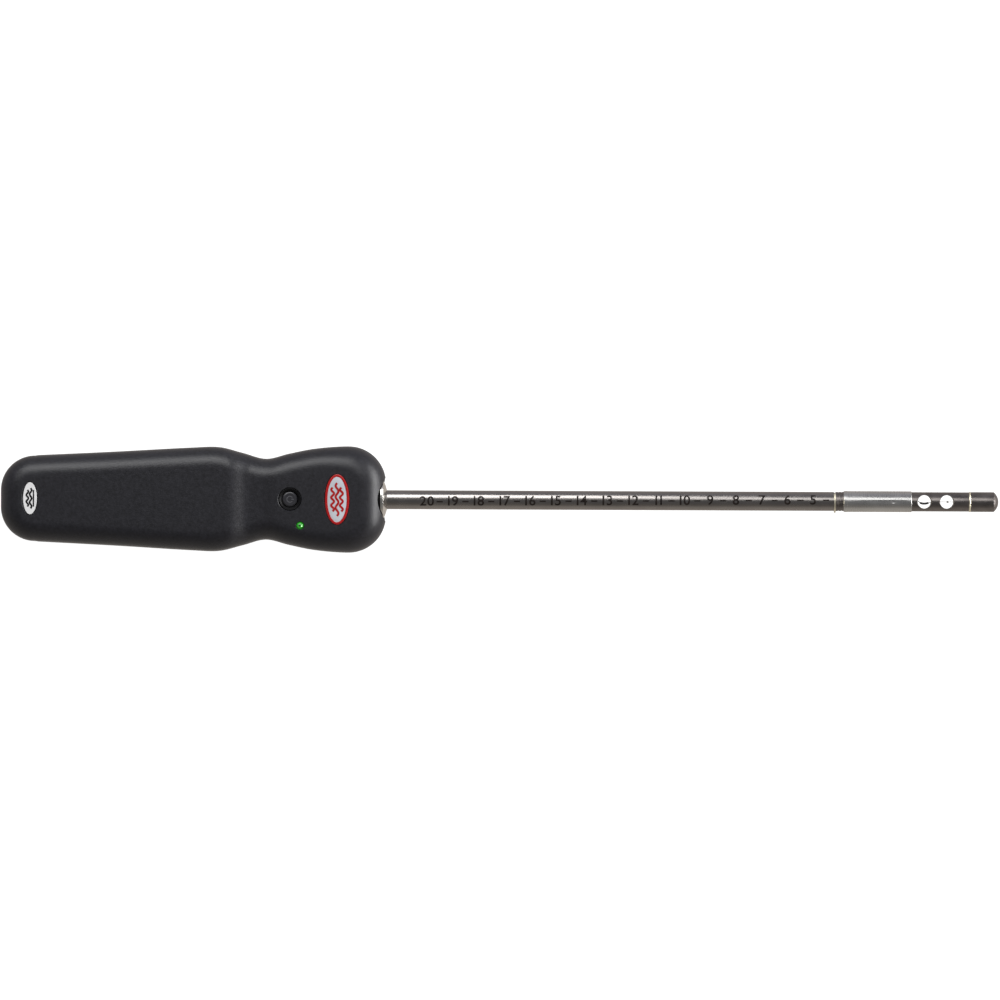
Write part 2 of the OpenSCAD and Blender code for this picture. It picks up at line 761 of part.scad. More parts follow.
// Crowned bead between the head and the tip cap
module tip_ring() {
    bore = spigot_r + gap;
    x0 = front_ring_x + gap;
    x1 = tip_cap_x - gap;
    crown = [for (p = [[0, -0.2], [0.25, -0.05], [0.5, 0], [0.75, -0.05], [1, -0.2]])
        [x0 + p[0] * (x1 - x0), ring_r + p[1]]];
    color([0.85, 0.8, 0.6]) place() turned(concat([[x0, bore]], crown, [[x1, bore]]));
}

module tip_cap() {
    end_h = 1.5;
    dome_x = total_l - end_h;
    base_r = tip_cap_r - 0.3;
    dome_r = (pow(base_r, 2) + pow(end_h, 2)) / (2 * end_h);
    dome = [for (k = [1 : 12]) let (r = base_r * (1 - k / 12))
        [total_l - dome_r + sqrt(dome_r * dome_r - r * r), r]];
    color([0.42, 0.4, 0.39]) place() turned(concat(
        [[spigot_x, 0], [spigot_x, spigot_r], [tip_cap_x, spigot_r], [tip_cap_x, tip_cap_r],
         [dome_x - 0.25, tip_cap_r], [dome_x, base_r]], dome));
}

// ---------------------------------------------------------------- badges

module front_badge() {
    color([0.85, 0.15, 0.12]) place()
        ellipse_plate(badge_x, badge_half, crest(badge_x) - 0.42, crest(badge_x) + 0.08);
}

module tail_label() {
    color([0.92, 0.92, 0.92]) place() ellipse_plate(label_x, label_half, grip_h - 0.33, grip_h + 0.03);
}

upper_shell();
lower_shell();
housing_screws();
power_button();
switch_plunger();
button_bezel();
status_led();
led_leads();
main_board();
board_screws();
tact_switch();
radio_module();
microcontroller();
signal_chip();
power_connector();
sensor_connector();
battery_cradle();
cradle_screws();
battery_cell_left();
battery_cell_right();
spring_contact_left();
spring_contact_right();
series_link_plate();
positive_plate();
negative_plate();
red_lead();
black_lead();
battery_door();
door_screws();
nose_collar();
collar_o_ring();
shaft_lock_ring();
lock_ring_screw();
probe_shaft();
sensor_cable();
shaft_clip();
sensor_head();
sensor_carrier();
velocity_sensor();
temperature_sensor();
sleeve_friction_ring();
guard_sleeve();
tip_ring();
tip_cap();
front_badge();
tail_label();
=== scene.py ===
"""Looks of the handheld insertion probe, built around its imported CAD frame.

Lengths in this file are millimetres in the CAD's own axes, with x measured from the handle's tail,
until mesh_piece() turns them into metres in the row frame.
"""
import math

import bmesh
import bpy
import numpy as np
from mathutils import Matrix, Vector


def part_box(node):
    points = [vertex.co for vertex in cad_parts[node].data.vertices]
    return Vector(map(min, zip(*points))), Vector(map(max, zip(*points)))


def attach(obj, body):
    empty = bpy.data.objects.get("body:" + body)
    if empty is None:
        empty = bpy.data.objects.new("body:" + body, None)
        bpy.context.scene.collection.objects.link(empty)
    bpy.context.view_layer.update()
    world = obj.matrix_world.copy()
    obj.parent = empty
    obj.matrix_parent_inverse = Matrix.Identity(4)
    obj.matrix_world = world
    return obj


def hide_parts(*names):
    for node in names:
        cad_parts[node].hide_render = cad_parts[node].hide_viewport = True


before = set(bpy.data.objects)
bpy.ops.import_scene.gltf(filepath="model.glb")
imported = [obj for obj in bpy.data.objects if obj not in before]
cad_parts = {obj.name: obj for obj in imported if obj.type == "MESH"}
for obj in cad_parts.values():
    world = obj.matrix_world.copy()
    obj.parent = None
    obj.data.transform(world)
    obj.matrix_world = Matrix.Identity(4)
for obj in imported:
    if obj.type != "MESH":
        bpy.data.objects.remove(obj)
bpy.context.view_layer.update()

MM = 0.001
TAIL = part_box("upper_shell")[0].x


def span(node):
    """Lowest and highest corners of a CAD node, in millimetres, with x from the tail."""
    shift = Vector((TAIL, 0, 0))
    low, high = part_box(node)
    return (low - shift) / MM, (high - shift) / MM


def middle(node):
    low, high = span(node)
    return (low + high) / 2


AXIS_Z = middle("probe_shaft").z


# ---------------------------------------------------------------- materials

def rgb(colour):
    return (*colour, 1.0)


def material(name, colour, rough, metallic=0.0, grain=0.25, bump=0.1, spread=0.06, mottle=0.12,
             mottle_size=7.0, coat=0.0, stretch=(1, 1, 1), emit=0.0, ior=1.5):
    """A finish with fine grain in its bump and roughness, and a slow variation of its colour.

    grain and mottle_size are millimetres, and stretch draws the grain out along an axis.
    """
    m = bpy.data.materials.new(name)
    m.use_nodes = True
    nodes, links = m.node_tree.nodes, m.node_tree.links
    shader = nodes["Principled BSDF"]
    shader.inputs["Metallic"].default_value = metallic
    shader.inputs["IOR"].default_value = ior
    shader.inputs["Coat Weight"].default_value = coat
    shader.inputs["Coat Roughness"].default_value = 0.08
    if emit:
        shader.inputs["Emission Color"].default_value = rgb(colour)
        shader.inputs["Emission Strength"].default_value = emit
    place = nodes.new("ShaderNodeTexCoord")
    stretched = nodes.new("ShaderNodeMapping")
    stretched.inputs["Scale"].default_value = [1 / (grain * MM * s) for s in stretch]
    links.new(place.outputs["Object"], stretched.inputs["Vector"])
    fine = nodes.new("ShaderNodeTexNoise")
    fine.inputs["Scale"].default_value = 1.0
    fine.inputs["Detail"].default_value = 3.0
    links.new(stretched.outputs["Vector"], fine.inputs["Vector"])
    raised = nodes.new("ShaderNodeBump")
    raised.inputs["Strength"].default_value = bump
    raised.inputs["Distance"].default_value = grain * MM * 0.3
    links.new(fine.outputs["Fac"], raised.inputs["Height"])
    links.new(raised.outputs["Normal"], shader.inputs["Normal"])
    slow = nodes.new("ShaderNodeTexNoise")
    slow.inputs["Scale"].default_value = 1 / (mottle_size * MM)
    slow.inputs["Detail"].default_value = 4.0
    links.new(place.outputs["Object"], slow.inputs["Vector"])
    both = nodes.new("ShaderNodeMath")
    both.operation = "ADD"
    links.new(fine.outputs["Fac"], both.inputs[0])
    links.new(slow.outputs["Fac"], both.inputs[1])
    dull = nodes.new("ShaderNodeMapRange")
    dull.inputs["From Min"].default_value = 0.6
    dull.inputs["From Max"].default_value = 1.4
    dull.inputs["To Min"].default_value = max(0.02, rough - spread)
    dull.inputs["To Max"].default_value = rough + spread
    links.new(both.outputs[0], dull.inputs["Value"])
    links.new(dull.outputs["Result"], shader.inputs["Roughness"])
    ramp = nodes.new("ShaderNodeValToRGB")
    ramp.color_ramp.elements[0].position = 0.3
    ramp.color_ramp.elements[1].position = 0.7
    ramp.color_ramp.elements[0].color = rgb([c * (1 - mottle) for c in colour])
    ramp.color_ramp.elements[1].color = rgb([min(1.0, c * (1 + mottle)) for c in colour])
    links.new(slow.outputs["Fac"], ramp.inputs["Fac"])
    links.new(ramp.outputs["Color"], shader.inputs["Base Color"])
    return m


HOUSING = material("housing_plastic", (0.010, 0.010, 0.0135), 0.42, grain=0.45, bump=0.4, mottle=0.3,
                   mottle_size=1.2)
BUTTON = material("button_plastic", (0.022, 0.022, 0.026), 0.34, grain=0.3, bump=0.12)
BEZEL = material("bezel_plastic", (0.003, 0.003, 0.0035), 0.5, grain=0.3, bump=0.08, ior=1.25)
SYMBOL = material("symbol_ink", (0.10, 0.10, 0.11), 0.4)
GREEN = material("led_green", (0.03, 0.34, 0.025), 0.16, emit=0.2, coat=0.6, mottle=0.25, mottle_size=0.8)
DIE = material("led_die", (0.004, 0.03, 0.006), 0.3)
# Painted highlight: a pale green colour that glows, for the glint on the light's dome
PAINTED_GLINT = material("led_painted_glint", (0.45, 0.95, 0.42), 0.2, emit=0.7)
SHAFT = material("shaft_steel", (0.32, 0.30, 0.285), 0.25, metallic=1.0, grain=0.12, stretch=(60, 1, 1),
                 bump=0.10, spread=0.05, mottle=0.06)
SLEEVE = material("sleeve_steel", (0.58, 0.575, 0.56), 0.28, metallic=1.0, grain=0.1, stretch=(1, 40, 40),
                  bump=0.32, spread=0.06, mottle=0.05)
SENSOR = material("sensor_steel", (0.22, 0.20, 0.19), 0.30, metallic=1.0, grain=0.12, stretch=(20, 1, 1),
                  bump=0.14, mottle=0.15, mottle_size=4)
RING = material("ring_metal", (0.90, 0.84, 0.66), 0.42, metallic=1.0, mottle=0.08)
COLLAR = material("collar_steel", (0.80, 0.78, 0.74), 0.20, metallic=1.0, grain=0.14, bump=0.2, spread=0.07,
                  mottle=0.10, mottle_size=2.5)
INK = material("mark_ink", (0.012, 0.008, 0.0065), 0.5, mottle=0.4, mottle_size=2, ior=1.3)
RED = material("badge_red", (0.40, 0.008, 0.008), 0.25, coat=0.4, mottle=0.08)
FIELD = material("badge_field", (0.56, 0.58, 0.62), 0.30, coat=0.4, grain=0.5, mottle=0.08)
LABEL = material("label_white", (0.80, 0.80, 0.80), 0.42, mottle=0.06, grain=0.3)
LABEL_INK = material("label_ink", (0.006, 0.006, 0.007), 0.5, ior=1.3)
RUBBER = material("black_rubber", (0.004, 0.004, 0.004), 0.6, grain=0.15, bump=0.3, ior=1.3)
CARRIER = material("carrier_plastic", (0.55, 0.53, 0.47), 0.5, grain=0.15, bump=0.2)
ELEMENT = material("element_glass", (0.010, 0.010, 0.012), 0.15, coat=0.5)
TIN = material("tinned_metal", (0.66, 0.65, 0.62), 0.28, metallic=1.0, grain=0.3, bump=0.15)
BOARD = material("circuit_board", (0.012, 0.13, 0.045), 0.3, coat=0.4, mottle=0.3, mottle_size=2.5)
CHIP = material("chip_black", (0.016, 0.016, 0.017), 0.5, bump=0.2)
SHIELD = material("shield_metal", (0.62, 0.62, 0.64), 0.3, metallic=1.0, grain=0.4, bump=0.12)
IVORY = material("connector_ivory", (0.68, 0.63, 0.50), 0.45)
CRADLE = material("cradle_plastic", (0.05, 0.05, 0.055), 0.5, bump=0.25)
CELL = material("cell_wrap", (0.60, 0.25, 0.04), 0.28, metallic=0.4, coat=0.5, mottle=0.1)
WIRE_RED = material("wire_red", (0.45, 0.02, 0.015), 0.35)
WIRE_BLACK = material("wire_black", (0.015, 0.015, 0.015), 0.35)
SCREW = material("screw_steel", (0.32, 0.32, 0.33), 0.3, metallic=1.0, grain=0.2, bump=0.2)
LOCK = material("lock_ring_metal", (0.6, 0.6, 0.62), 0.3, metallic=1.0, grain=0.15, stretch=(1, 30, 30))
SHEATH = material("cable_sheath", (0.03, 0.03, 0.033), 0.4)

CAD_FINISH = {
    "housing_screws": SCREW, "switch_plunger": IVORY, "led_leads": TIN, "main_board": BOARD,
    "board_screws": SCREW, "tact_switch": CHIP, "radio_module": SHIELD, "microcontroller": CHIP,
    "signal_chip": CHIP, "power_connector": IVORY, "sensor_connector": IVORY, "battery_cradle": CRADLE,
    "cradle_screws": SCREW, "battery_cell_left": CELL, "battery_cell_right": CELL,
    "spring_contact_left": TIN, "spring_contact_right": TIN, "series_link_plate": TIN,
    "positive_plate": TIN, "negative_plate": TIN, "red_lead": WIRE_RED, "black_lead": WIRE_BLACK,
    "door_screws": SCREW, "collar_o_ring": RUBBER, "shaft_lock_ring": LOCK, "lock_ring_screw": SCREW,
    "sensor_cable": SHEATH, "shaft_clip": RING, "sensor_carrier": CARRIER, "velocity_sensor": ELEMENT,
    "temperature_sensor": TIN, "sleeve_friction_ring": RUBBER,
}


def finish_cad_nodes():
    """Gives each piece that stays as its CAD mesh a material."""
    for node, finish in CAD_FINISH.items():
        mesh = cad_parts[node].data
        mesh.materials.clear()
        mesh.materials.append(finish)


# ---------------------------------------------------------------- mesh helpers

def sharpen(mesh, angle):
    """Smooth shading everywhere except across edges steeper than angle, in degrees."""
    bm = bmesh.new()
    bm.from_mesh(mesh)
    for face in bm.faces:
        face.smooth = True
    for edge in bm.edges:
        edge.smooth = len(edge.link_faces) == 2 and edge.calc_face_angle(0) < math.radians(angle)
    bm.to_mesh(mesh)
    bm.free()


def mesh_piece(name, verts, faces, finish=None, angle=35):
    """A new object from points in millimetres from the tail."""
    points = np.array(verts, float) * MM
    points[:, 0] += TAIL
    mesh = bpy.data.meshes.new(name)
    mesh.from_pydata(points.tolist(), [], faces)
    bm = bmesh.new()
    bm.from_mesh(mesh)
    bmesh.ops.remove_doubles(bm, verts=bm.verts, dist=1e-7)
    bmesh.ops.dissolve_degenerate(bm, edges=bm.edges, dist=1e-7)
    bmesh.ops.recalc_face_normals(bm, faces=bm.faces)
    bm.to_mesh(mesh)
    bm.free()
    piece = bpy.data.objects.new(name, mesh)
    bpy.context.scene.collection.objects.link(piece)
    if finish:
        mesh.materials.append(finish)
    sharpen(mesh, angle)
    return piece


def as_mesh(piece):
    """A new mesh of the piece as its modifiers or curve settings leave it."""
    return bpy.data.meshes.new_from_object(piece.evaluated_get(bpy.context.evaluated_depsgraph_get()))


def carve(piece, cutters, operation="DIFFERENCE", angle=35):
    """Cuts each cutter out of the piece, or joins it on, and removes the cutter."""
    for cutter in cutters:
        step = piece.modifiers.new("carve", "BOOLEAN")
        step.operation = operation
        step.solver = "MANIFOLD"
        step.object = cutter
        shaped = as_mesh(piece)
        piece.modifiers.clear()
        old = piece.data
        name = old.name
        piece.data = shaped
        bpy.data.meshes.remove(old)
        shaped.name = name
        bpy.data.objects.remove(cutter)
    sharpen(piece.data, angle)
    return piece


def grid_faces(rows, columns, offset=0):
    """Quads between successive rings of points."""
    faces = []
    for i in range(rows - 1):
        for j in range(columns):
            k = (j + 1) % columns
            a = offset + i * columns
            faces.append((a + j, a + k, a + columns + k, a + columns + j))
    return faces


def softened(profile, radius):
    """The profile with every corner between its ends rounded to radius, where there is room for it."""
    steps = 4
    nearly_straight = math.radians(84)
    points = [np.array(p, float) for p in profile]
    if not radius:
        return points
    result = [points[0]]
    for before, corner, after in zip(points, points[1:], points[2:]):
        back, ahead = before - corner, after - corner
        room = 0.45 * min(np.linalg.norm(back), np.linalg.norm(ahead))
        back, ahead = back / np.linalg.norm(back), ahead / np.linalg.norm(ahead)
        half = math.acos(max(-1.0, min(1.0, float(back @ ahead)))) / 2
        if half > nearly_straight:
            result.append(corner)
            continue
        reach = min(radius / math.tan(half), room)
        for k in range(steps + 1):
            t = k / steps
            result.append((1 - t) ** 2 * (corner + back * reach) + 2 * t * (1 - t) * corner
                          + t ** 2 * (corner + ahead * reach))
    return result + [points[-1]]


def turned(name, profile, finish=None, axis="x", at=(0, 0), round_to=0.08, steps=128, angle=35):
    """A closed solid turned about X at (y, z), or about Z at (x, y). Profile points are
    (distance along the axis, radius), and a radius of 0 closes the end."""
    closed = profile[0][1] > 0 or profile[-1][1] > 0
    points = softened(list(profile) + [profile[0]] * closed, round_to)
    if closed:
        points = points[:-1]
    verts, faces, rings = [], [], []
    for along, radius in points:
        count = 1 if radius < 1e-6 else steps
        rings.append(range(len(verts), len(verts) + count))
        for k in range(count):
            turn = 2 * math.pi * k / steps
            u, v = radius * math.cos(turn), radius * math.sin(turn)
            verts.append((along, at[0] + u, at[1] + v) if axis == "x" else (at[0] + u, at[1] + v, along))
    pairs = list(zip(rings, rings[1:]))
    if closed:
        pairs.append((rings[-1], rings[0]))
    for a, b in pairs:
        for k in range(steps):
            n = (k + 1) % steps
            corners = [a[k % len(a)], a[n % len(a)], b[n % len(b)], b[k % len(b)]]
            corners = list(dict.fromkeys(corners))
            if len(corners) > 2:
                faces.append(corners)
    return mesh_piece(name, verts, faces, finish, angle)


def oval(name, x, half_x, half_y, profile, finish=None):
    """A closed oval plate on the centre line. Profile points are (inset from the edge, height), outside
    first, bottom up."""
    steps = 96
    verts = []
    for inset, height in profile:
        for k in range(steps):
            turn = 2 * math.pi * k / steps
            verts.append((x + (half_x - inset) * math.cos(turn), (half_y - inset) * math.sin(turn), height))
    faces = grid_faces(len(profile), steps)
    faces.append(tuple(range(steps)))
    faces.append(tuple(range(len(verts) - steps, len(verts))))
    return mesh_piece(name, verts, faces, finish)


BOX_FACES = [(0, 1, 3, 2), (4, 6, 7, 5), (0, 4, 5, 1), (2, 3, 7, 6), (0, 2, 6, 4), (1, 5, 7, 3)]


def box_points(x, y, z):
    """The corners of a box between the two limits on each axis, in the order of BOX_FACES."""
    return [(a, b, c) for a in x for b in y for c in z]


def show(piece, body, slot, *nodes):
    """The piece rides on the body and stands for the CAD nodes. The slot is not used."""
    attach(piece, body)
    if nodes:
        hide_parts(*nodes)


# ---------------------------------------------------------------- handle surface

HANDLE_L = 149.6
GRIP_H = span("upper_shell")[1].z
HEAD_H = 24.2
VALLEY_H = 23.3
WALL = 2.2
TAIL_R, TAIL_Y = 13.3, 3.3
NOSE_R, NOSE_Y = 14.5, 6.15
SIDE = [(12.5, 16.7), (44, 18.25), (75, 20.0), (85, 20.15), (94, 17.95), (103, 15.7), (112, 17.75),
        (122, 19.7), (135.1, 20.65)]
SIDE_ROUND, NOSE_ROUND, DRAFT = 7.4, 10.0, 0.3
RIM_ROUND = 0.25
ARC_STEPS, SIDE_STEPS, ROUND_STEPS, RIM_STEPS, ACROSS = 26, 14, 20, 4, 12
WALL_LEVELS = (0.25, 0.5, 0.75)
NOSE_FALL = 0.5
WAIST_LIFT = 1.1


def smooth(a, b, x):
    """0 before a and 1 after b, with an even ease between them."""
    t = min(1.0, max(0.0, (x - a) / (b - a)))
    return t * t * (3 - 2 * t)


def crest(x):
    """Height of the top surface."""
    drop = (GRIP_H - VALLEY_H) * smooth(88, 97, x)
    rise = (HEAD_H - VALLEY_H) * smooth(100.5, 108, x)
    return GRIP_H - drop + rise - NOSE_FALL * smooth(112, HANDLE_L, x)


def keel(x):
    """Height of the underside."""
    return WAIST_LIFT * (smooth(90, 99, x) - smooth(101, 110, x))


def slope(i):
    """Slope of the side at its point i."""
    if i == len(SIDE) - 1:
        return 0.0
    a, b = SIDE[max(i - 1, 0)], SIDE[i + 1]
    return (b[1] - a[1]) / (b[0] - a[0])


def half_outline():
    """Points round half the plan, from the middle of the tail to the middle of the nose."""
    half = ACROSS // 2
    points = [(0.0, TAIL_Y * k / half) for k in range(half)]
    for k in range(ARC_STEPS + 1):
        turn = math.radians(90 * k / ARC_STEPS)
        x = TAIL_R * (1 - math.cos(turn))
        if x <= TAIL_R - 0.05 or k == ARC_STEPS:
            points.append((x, TAIL_Y + TAIL_R * math.sin(turn)))
    for i in range(len(SIDE) - 1):
        (xa, ya), (xb, yb) = SIDE[i], SIDE[i + 1]
        for k in range(SIDE_STEPS):
            t = k / SIDE_STEPS
            x = xa + t * (xb - xa)
            y = ((2 * t ** 3 - 3 * t ** 2 + 1) * ya + (t ** 3 - 2 * t ** 2 + t) * (xb - xa) * slope(i)
                 + (3 * t ** 2 - 2 * t ** 3) * yb + (t ** 3 - t ** 2) * (xb - xa) * slope(i + 1))
            if x > TAIL_R + 0.8:
                points.append((x, y))
    for k in range(ARC_STEPS + 1):
        turn = math.radians(90 * (1 - k / ARC_STEPS))
        points.append((HANDLE_L - NOSE_R * (1 - math.cos(turn)), NOSE_Y + NOSE_R * math.sin(turn)))
    points += [(HANDLE_L, NOSE_Y * (1 - k / half)) for k in range(1, half + 1)]
    return np.array(points)


OUTLINE = half_outline()
HALF = len(OUTLINE) - 1
AROUND = 2 * HALF


def outward():
    """Unit normals of the outline, pointing out of the handle."""
    ahead = np.roll(OUTLINE, -1, axis=0) - np.roll(OUTLINE, 1, axis=0)
    ahead[0] = ahead[-1] = (0, 1)
    ahead /= np.linalg.norm(ahead, axis=1)[:, None]
    normals = np.stack([-ahead[:, 1], ahead[:, 0]], axis=1)
    normals[-1] = (1, 0)
    return normals


OUTWARD = outward()


def rounding(x):
    """Radius between the side and the top or underside."""
    return SIDE_ROUND + (NOSE_ROUND - SIDE_ROUND) * smooth(122, 146, x)


def ring(up, wall, level, turn=None):
    """One closed ring of the surface. Below the rounding, level goes from 0 at the rim to 1 where the
    rounding starts; in it, turn goes from 0 to 90 degrees."""
    half = []
    for (x, y), (nx, ny) in zip(OUTLINE, OUTWARD):
        r = rounding(x) - wall
        edge = math.radians(turn or 0)
        inset = wall + DRAFT * level + (0 if turn is None else r * (1 - math.cos(edge)))
        px, py = x - inset * nx, y - inset * ny
        end = crest(px) - wall if up > 0 else keel(px) + wall
        start = end - up * r
        z = AXIS_Z + level * (start - AXIS_Z) if turn is None else end - up * r * (1 - math.sin(edge))
        half.append((px, py, z))
    return half + [(x, -y, z) for x, y, z in half[-2:0:-1]]


def rim_ring(up, inset, rise):
    """A ring just off the parting plane, for the rounded rim."""
    z = AXIS_Z + up * rise
    half = [(x - inset * nx, y - inset * ny, z) for (x, y), (nx, ny) in zip(OUTLINE, OUTWARD)]
    return half + [(x, -y, z) for x, y, z in half[-2:0:-1]]


def skin(up, wall):
    """Rings from the rim to the edge of the flat, and the rows of the flat between them."""
    rings = []
    if wall == 0:
        for k in range(RIM_STEPS):
            turn = math.radians(90 * k / RIM_STEPS)
            rings.append(rim_ring(up, RIM_ROUND * (1 - math.sin(turn)), RIM_ROUND * (1 - math.cos(turn))))
        rings.append([(x, y, AXIS_Z + up * RIM_ROUND) for x, y, _ in ring(up, wall, 0)])
    else:
        rings.append(ring(up, wall, 0))
    rings += [ring(up, wall, level) for level in WALL_LEVELS]
    rings += [ring(up, wall, 1, 90 * k / ROUND_STEPS) for k in range(ROUND_STEPS + 1)]
    return rings


def half_shell(name, up):
    """A hollow half of the handle, outside and inside skins joined at the rim."""
    verts, faces, rims = [], [], []
    half = ACROSS // 2
    for wall in (0, WALL):
        start = len(verts)
        rings = skin(up, wall)
        rims.append(start)
        for r in rings:
            verts.extend(r)
        faces += grid_faces(len(rings), AROUND, offset=start)
        last = start + (len(rings) - 1) * AROUND
        tail_row = [last + (k % AROUND) for k in range(half, -half - 1, -1)]
        nose_row = [last + HALF + k for k in range(-half, half + 1)]
        rows = [tail_row]
        for i in range(half + 1, HALF - half):
            x, y, z = verts[last + i]
            row = [last + i]
            for k in range(1, ACROSS):
                verts.append((x, y * (1 - 2 * k / ACROSS), z))
                row.append(len(verts) - 1)
            rows.append(row + [last + AROUND - i])
        rows.append(nose_row)
        for a, b in zip(rows, rows[1:]):
            faces += [(a[k], b[k], b[k + 1], a[k + 1]) for k in range(ACROSS)]
    outer, inner = rims
    for j in range(AROUND):
        k = (j + 1) % AROUND
        faces.append((outer + j, outer + k, inner + k, inner + j))
    return mesh_piece(name, verts, faces, HOUSING)


CUT_PAST = 3.0
SKIM = 0.001


def flared_edge(flare):
    """(spread, depth) of a rounded edge, from the hole's wall out to the surface."""
    return [(flare * (1 - math.sin(math.radians(90 - a))), flare * math.cos(math.radians(a)))
            for a in range(0, 91, 15)]


def mouth(x, y, radius, low, high, flare):
    """Cutter for an upright round hole whose edge is rounded at the surface height high."""
    arc = [(high - depth, radius + spread) for spread, depth in flared_edge(flare)]
    top = high + CUT_PAST
    return turned("cutter", [(low, 0), (low, radius)] + arc + [(top, arc[-1][1]), (top, 0)], axis="z",
                  at=(x, y), round_to=0)


def oval_mouth(x, half_x, half_y, floor, high, flare):
    """Cutter for an oval pocket whose edge is rounded at the surface height high."""
    arc = [(-spread, high - depth) for spread, depth in flared_edge(flare)]
    return oval("cutter", x, half_x, half_y, [(0, floor)] + arc + [(arc[-1][0], high + CUT_PAST)])


# ---------------------------------------------------------------- shells and door

button_at = middle("power_button")
led_at = middle("status_led")
badge_low, badge_high = span("front_badge")
label_low, label_high = span("tail_label")
door_low, door_high = span("battery_door")
BADGE_X, LABEL_X = middle("front_badge").x, middle("tail_label").x
BADGE_HALF, BADGE_POCKET = (4.72, 9.77), (4.8, 9.85)
LABEL_HALF, LABEL_POCKET = (2.66, 6.22), (3.1, 6.65)
BEZEL_HOLE_R, LED_HOLE_R, HOLE_DEPTH = 4.4, 1.55, 4.0
TAIL_SCREW, HEAD_SCREW = (8.8, 8.6), (136.8, 12.6)
CRADLE_HOLES, BOARD_HOLES = [(21.2, 9), (87.4, 9)], [(97.5, 9.3), (124, 9.3)]
# Radius of each kind of boss and of its pilot hole
CASE_BOSS, CRADLE_BOSS, BOARD_BOSS = (3.1, 1.3), (2.2, 1.0), (2.1, 1.0)
TAIL_BOSS_DROP, HEAD_BOSS_DROP, SMALL_BOSS_DROP, SMALL_PILOT_DROP = 2.0, 2.2, 1.5, 2.2
TAIL_PILOT, HEAD_PILOT = 9.5, 8.5
# Screw holes from below: wide mouth, well for the head, hole for the shank
MOUTH_R, WELL_R, SHANK_R, MOUTH_H = 2.9, 2.6, 1.45, 0.3
LOWER_BOSS_R, LOWER_BOSS_FOOT, LOWER_WELL = 3.4, 2.0, 7.0
DOOR_SCREW_X = (20.8, 87.8)
DOOR_BOSS_R, DOOR_BOSS_FOOT, DOOR_BOSS_TOP, DOOR_WELL, DOOR_BORE_TOP = 3.2, 1.0, 4.9, 2.6, 6.0
DOOR_CORNER, DOOR_TOP, DOOR_GAP = 4.0, 4.0, 0.2
GROOVES, GROOVE_INSET, GROOVE_PITCH, GROOVE_HALF_Y, GROOVE_R = 3, 9.6, 2.2, 6.0, 0.5
BULKHEAD = (138.7, 143.9)
BULKHEAD_HALF_W, BULKHEAD_TOP, BULKHEAD_FOOT = 10.0, HEAD_H - 2.4, 2.0
NECK_R, NOSE_HOLE_R, SEAT_EXTRA = 5.65, 8.4, 0.2
FLANGE_X = span("collar_o_ring")[1].x + 0.02
SEAT_X = span("collar_o_ring")[0].x - 0.08


def pin(name, x, y, low, high, radius, steps=48):
    """An upright solid cylinder with sharp ends, for a boss or a bore."""
    return turned(name, [(low, 0), (low, radius), (high, radius), (high, 0)], axis="z", at=(x, y),
                  round_to=0, steps=steps)


def counterbore(x, y, floor, top):
    """Cutter for a screw hole from below, with its wide well up to floor and the shank's hole to top."""
    return turned("bore", [(-1, 0), (-1, MOUTH_R), (0.01, MOUTH_R), (MOUTH_H, WELL_R), (floor, WELL_R),
                           (floor, SHANK_R), (top, SHANK_R), (top, 0)], axis="z", at=(x, y), round_to=0,
                  steps=64)


def upper_bosses():
    """The screw bosses under the top, and the cutters for their pilot holes."""
    cradle_top, board_top = span("battery_cradle")[1].z, span("main_board")[1].z
    rows = [(TAIL_SCREW, AXIS_Z, GRIP_H - TAIL_BOSS_DROP, CASE_BOSS, AXIS_Z + TAIL_PILOT),
            (HEAD_SCREW, AXIS_Z, HEAD_H - HEAD_BOSS_DROP, CASE_BOSS, AXIS_Z + HEAD_PILOT)]
    for holes, low, boss in ((CRADLE_HOLES, cradle_top, CRADLE_BOSS), (BOARD_HOLES, board_top, BOARD_BOSS)):
        for hole in holes:
            surface = crest(hole[0])
            rows.append((hole, low, surface - SMALL_BOSS_DROP, boss, surface - SMALL_PILOT_DROP))
    posts, bores = [], []
    for side in (-1, 1):
        for (x, y), low, high, (radius, pilot), pilot_top in rows:
            posts.append(pin("post", x, side * y, low, high, radius))
            bores.append(pin("bore", x, side * y, low - 1, pilot_top, pilot))
    return posts, bores


def tube_cutter(x0, x1, radius):
    """Cutter for a round bore on the shaft's axis."""
    return turned("cutter", [(x0, 0), (x0, radius), (x1, radius), (x1, 0)], at=(0, AXIS_Z), round_to=0)


def bulkhead(low, high):
    """The solid wall behind the nose and the half-round seat in front of it, between two heights."""
    steps = 48
    radius = NOSE_HOLE_R + SEAT_EXTRA
    first = 0 if low >= AXIS_Z - 0.01 else 180
    arc = [(radius * math.cos(math.radians(first + 180 * k / steps)),
            AXIS_Z + radius * math.sin(math.radians(first + 180 * k / steps))) for k in range(steps + 1)]
    verts = [(x, y, z) for x in (BULKHEAD[1] - 1, SEAT_X) for y, z in arc]
    faces = grid_faces(2, steps + 1)
    faces += [tuple(range(steps + 1)), tuple(range(steps + 1, 2 * steps + 2))]
    wall = box_points(BULKHEAD, (-BULKHEAD_HALF_W, BULKHEAD_HALF_W), (low, high))
    return [mesh_piece("bulkhead", wall, BOX_FACES), mesh_piece("seat", verts, faces)]


def nose_cutters():
    """The bore for the collar's neck and the wider opening in front of the seat."""
    return [tube_cutter(BULKHEAD[0] - 1, SEAT_X + 0.1, NECK_R),
            tube_cutter(SEAT_X, HANDLE_L + 5, NOSE_HOLE_R)]


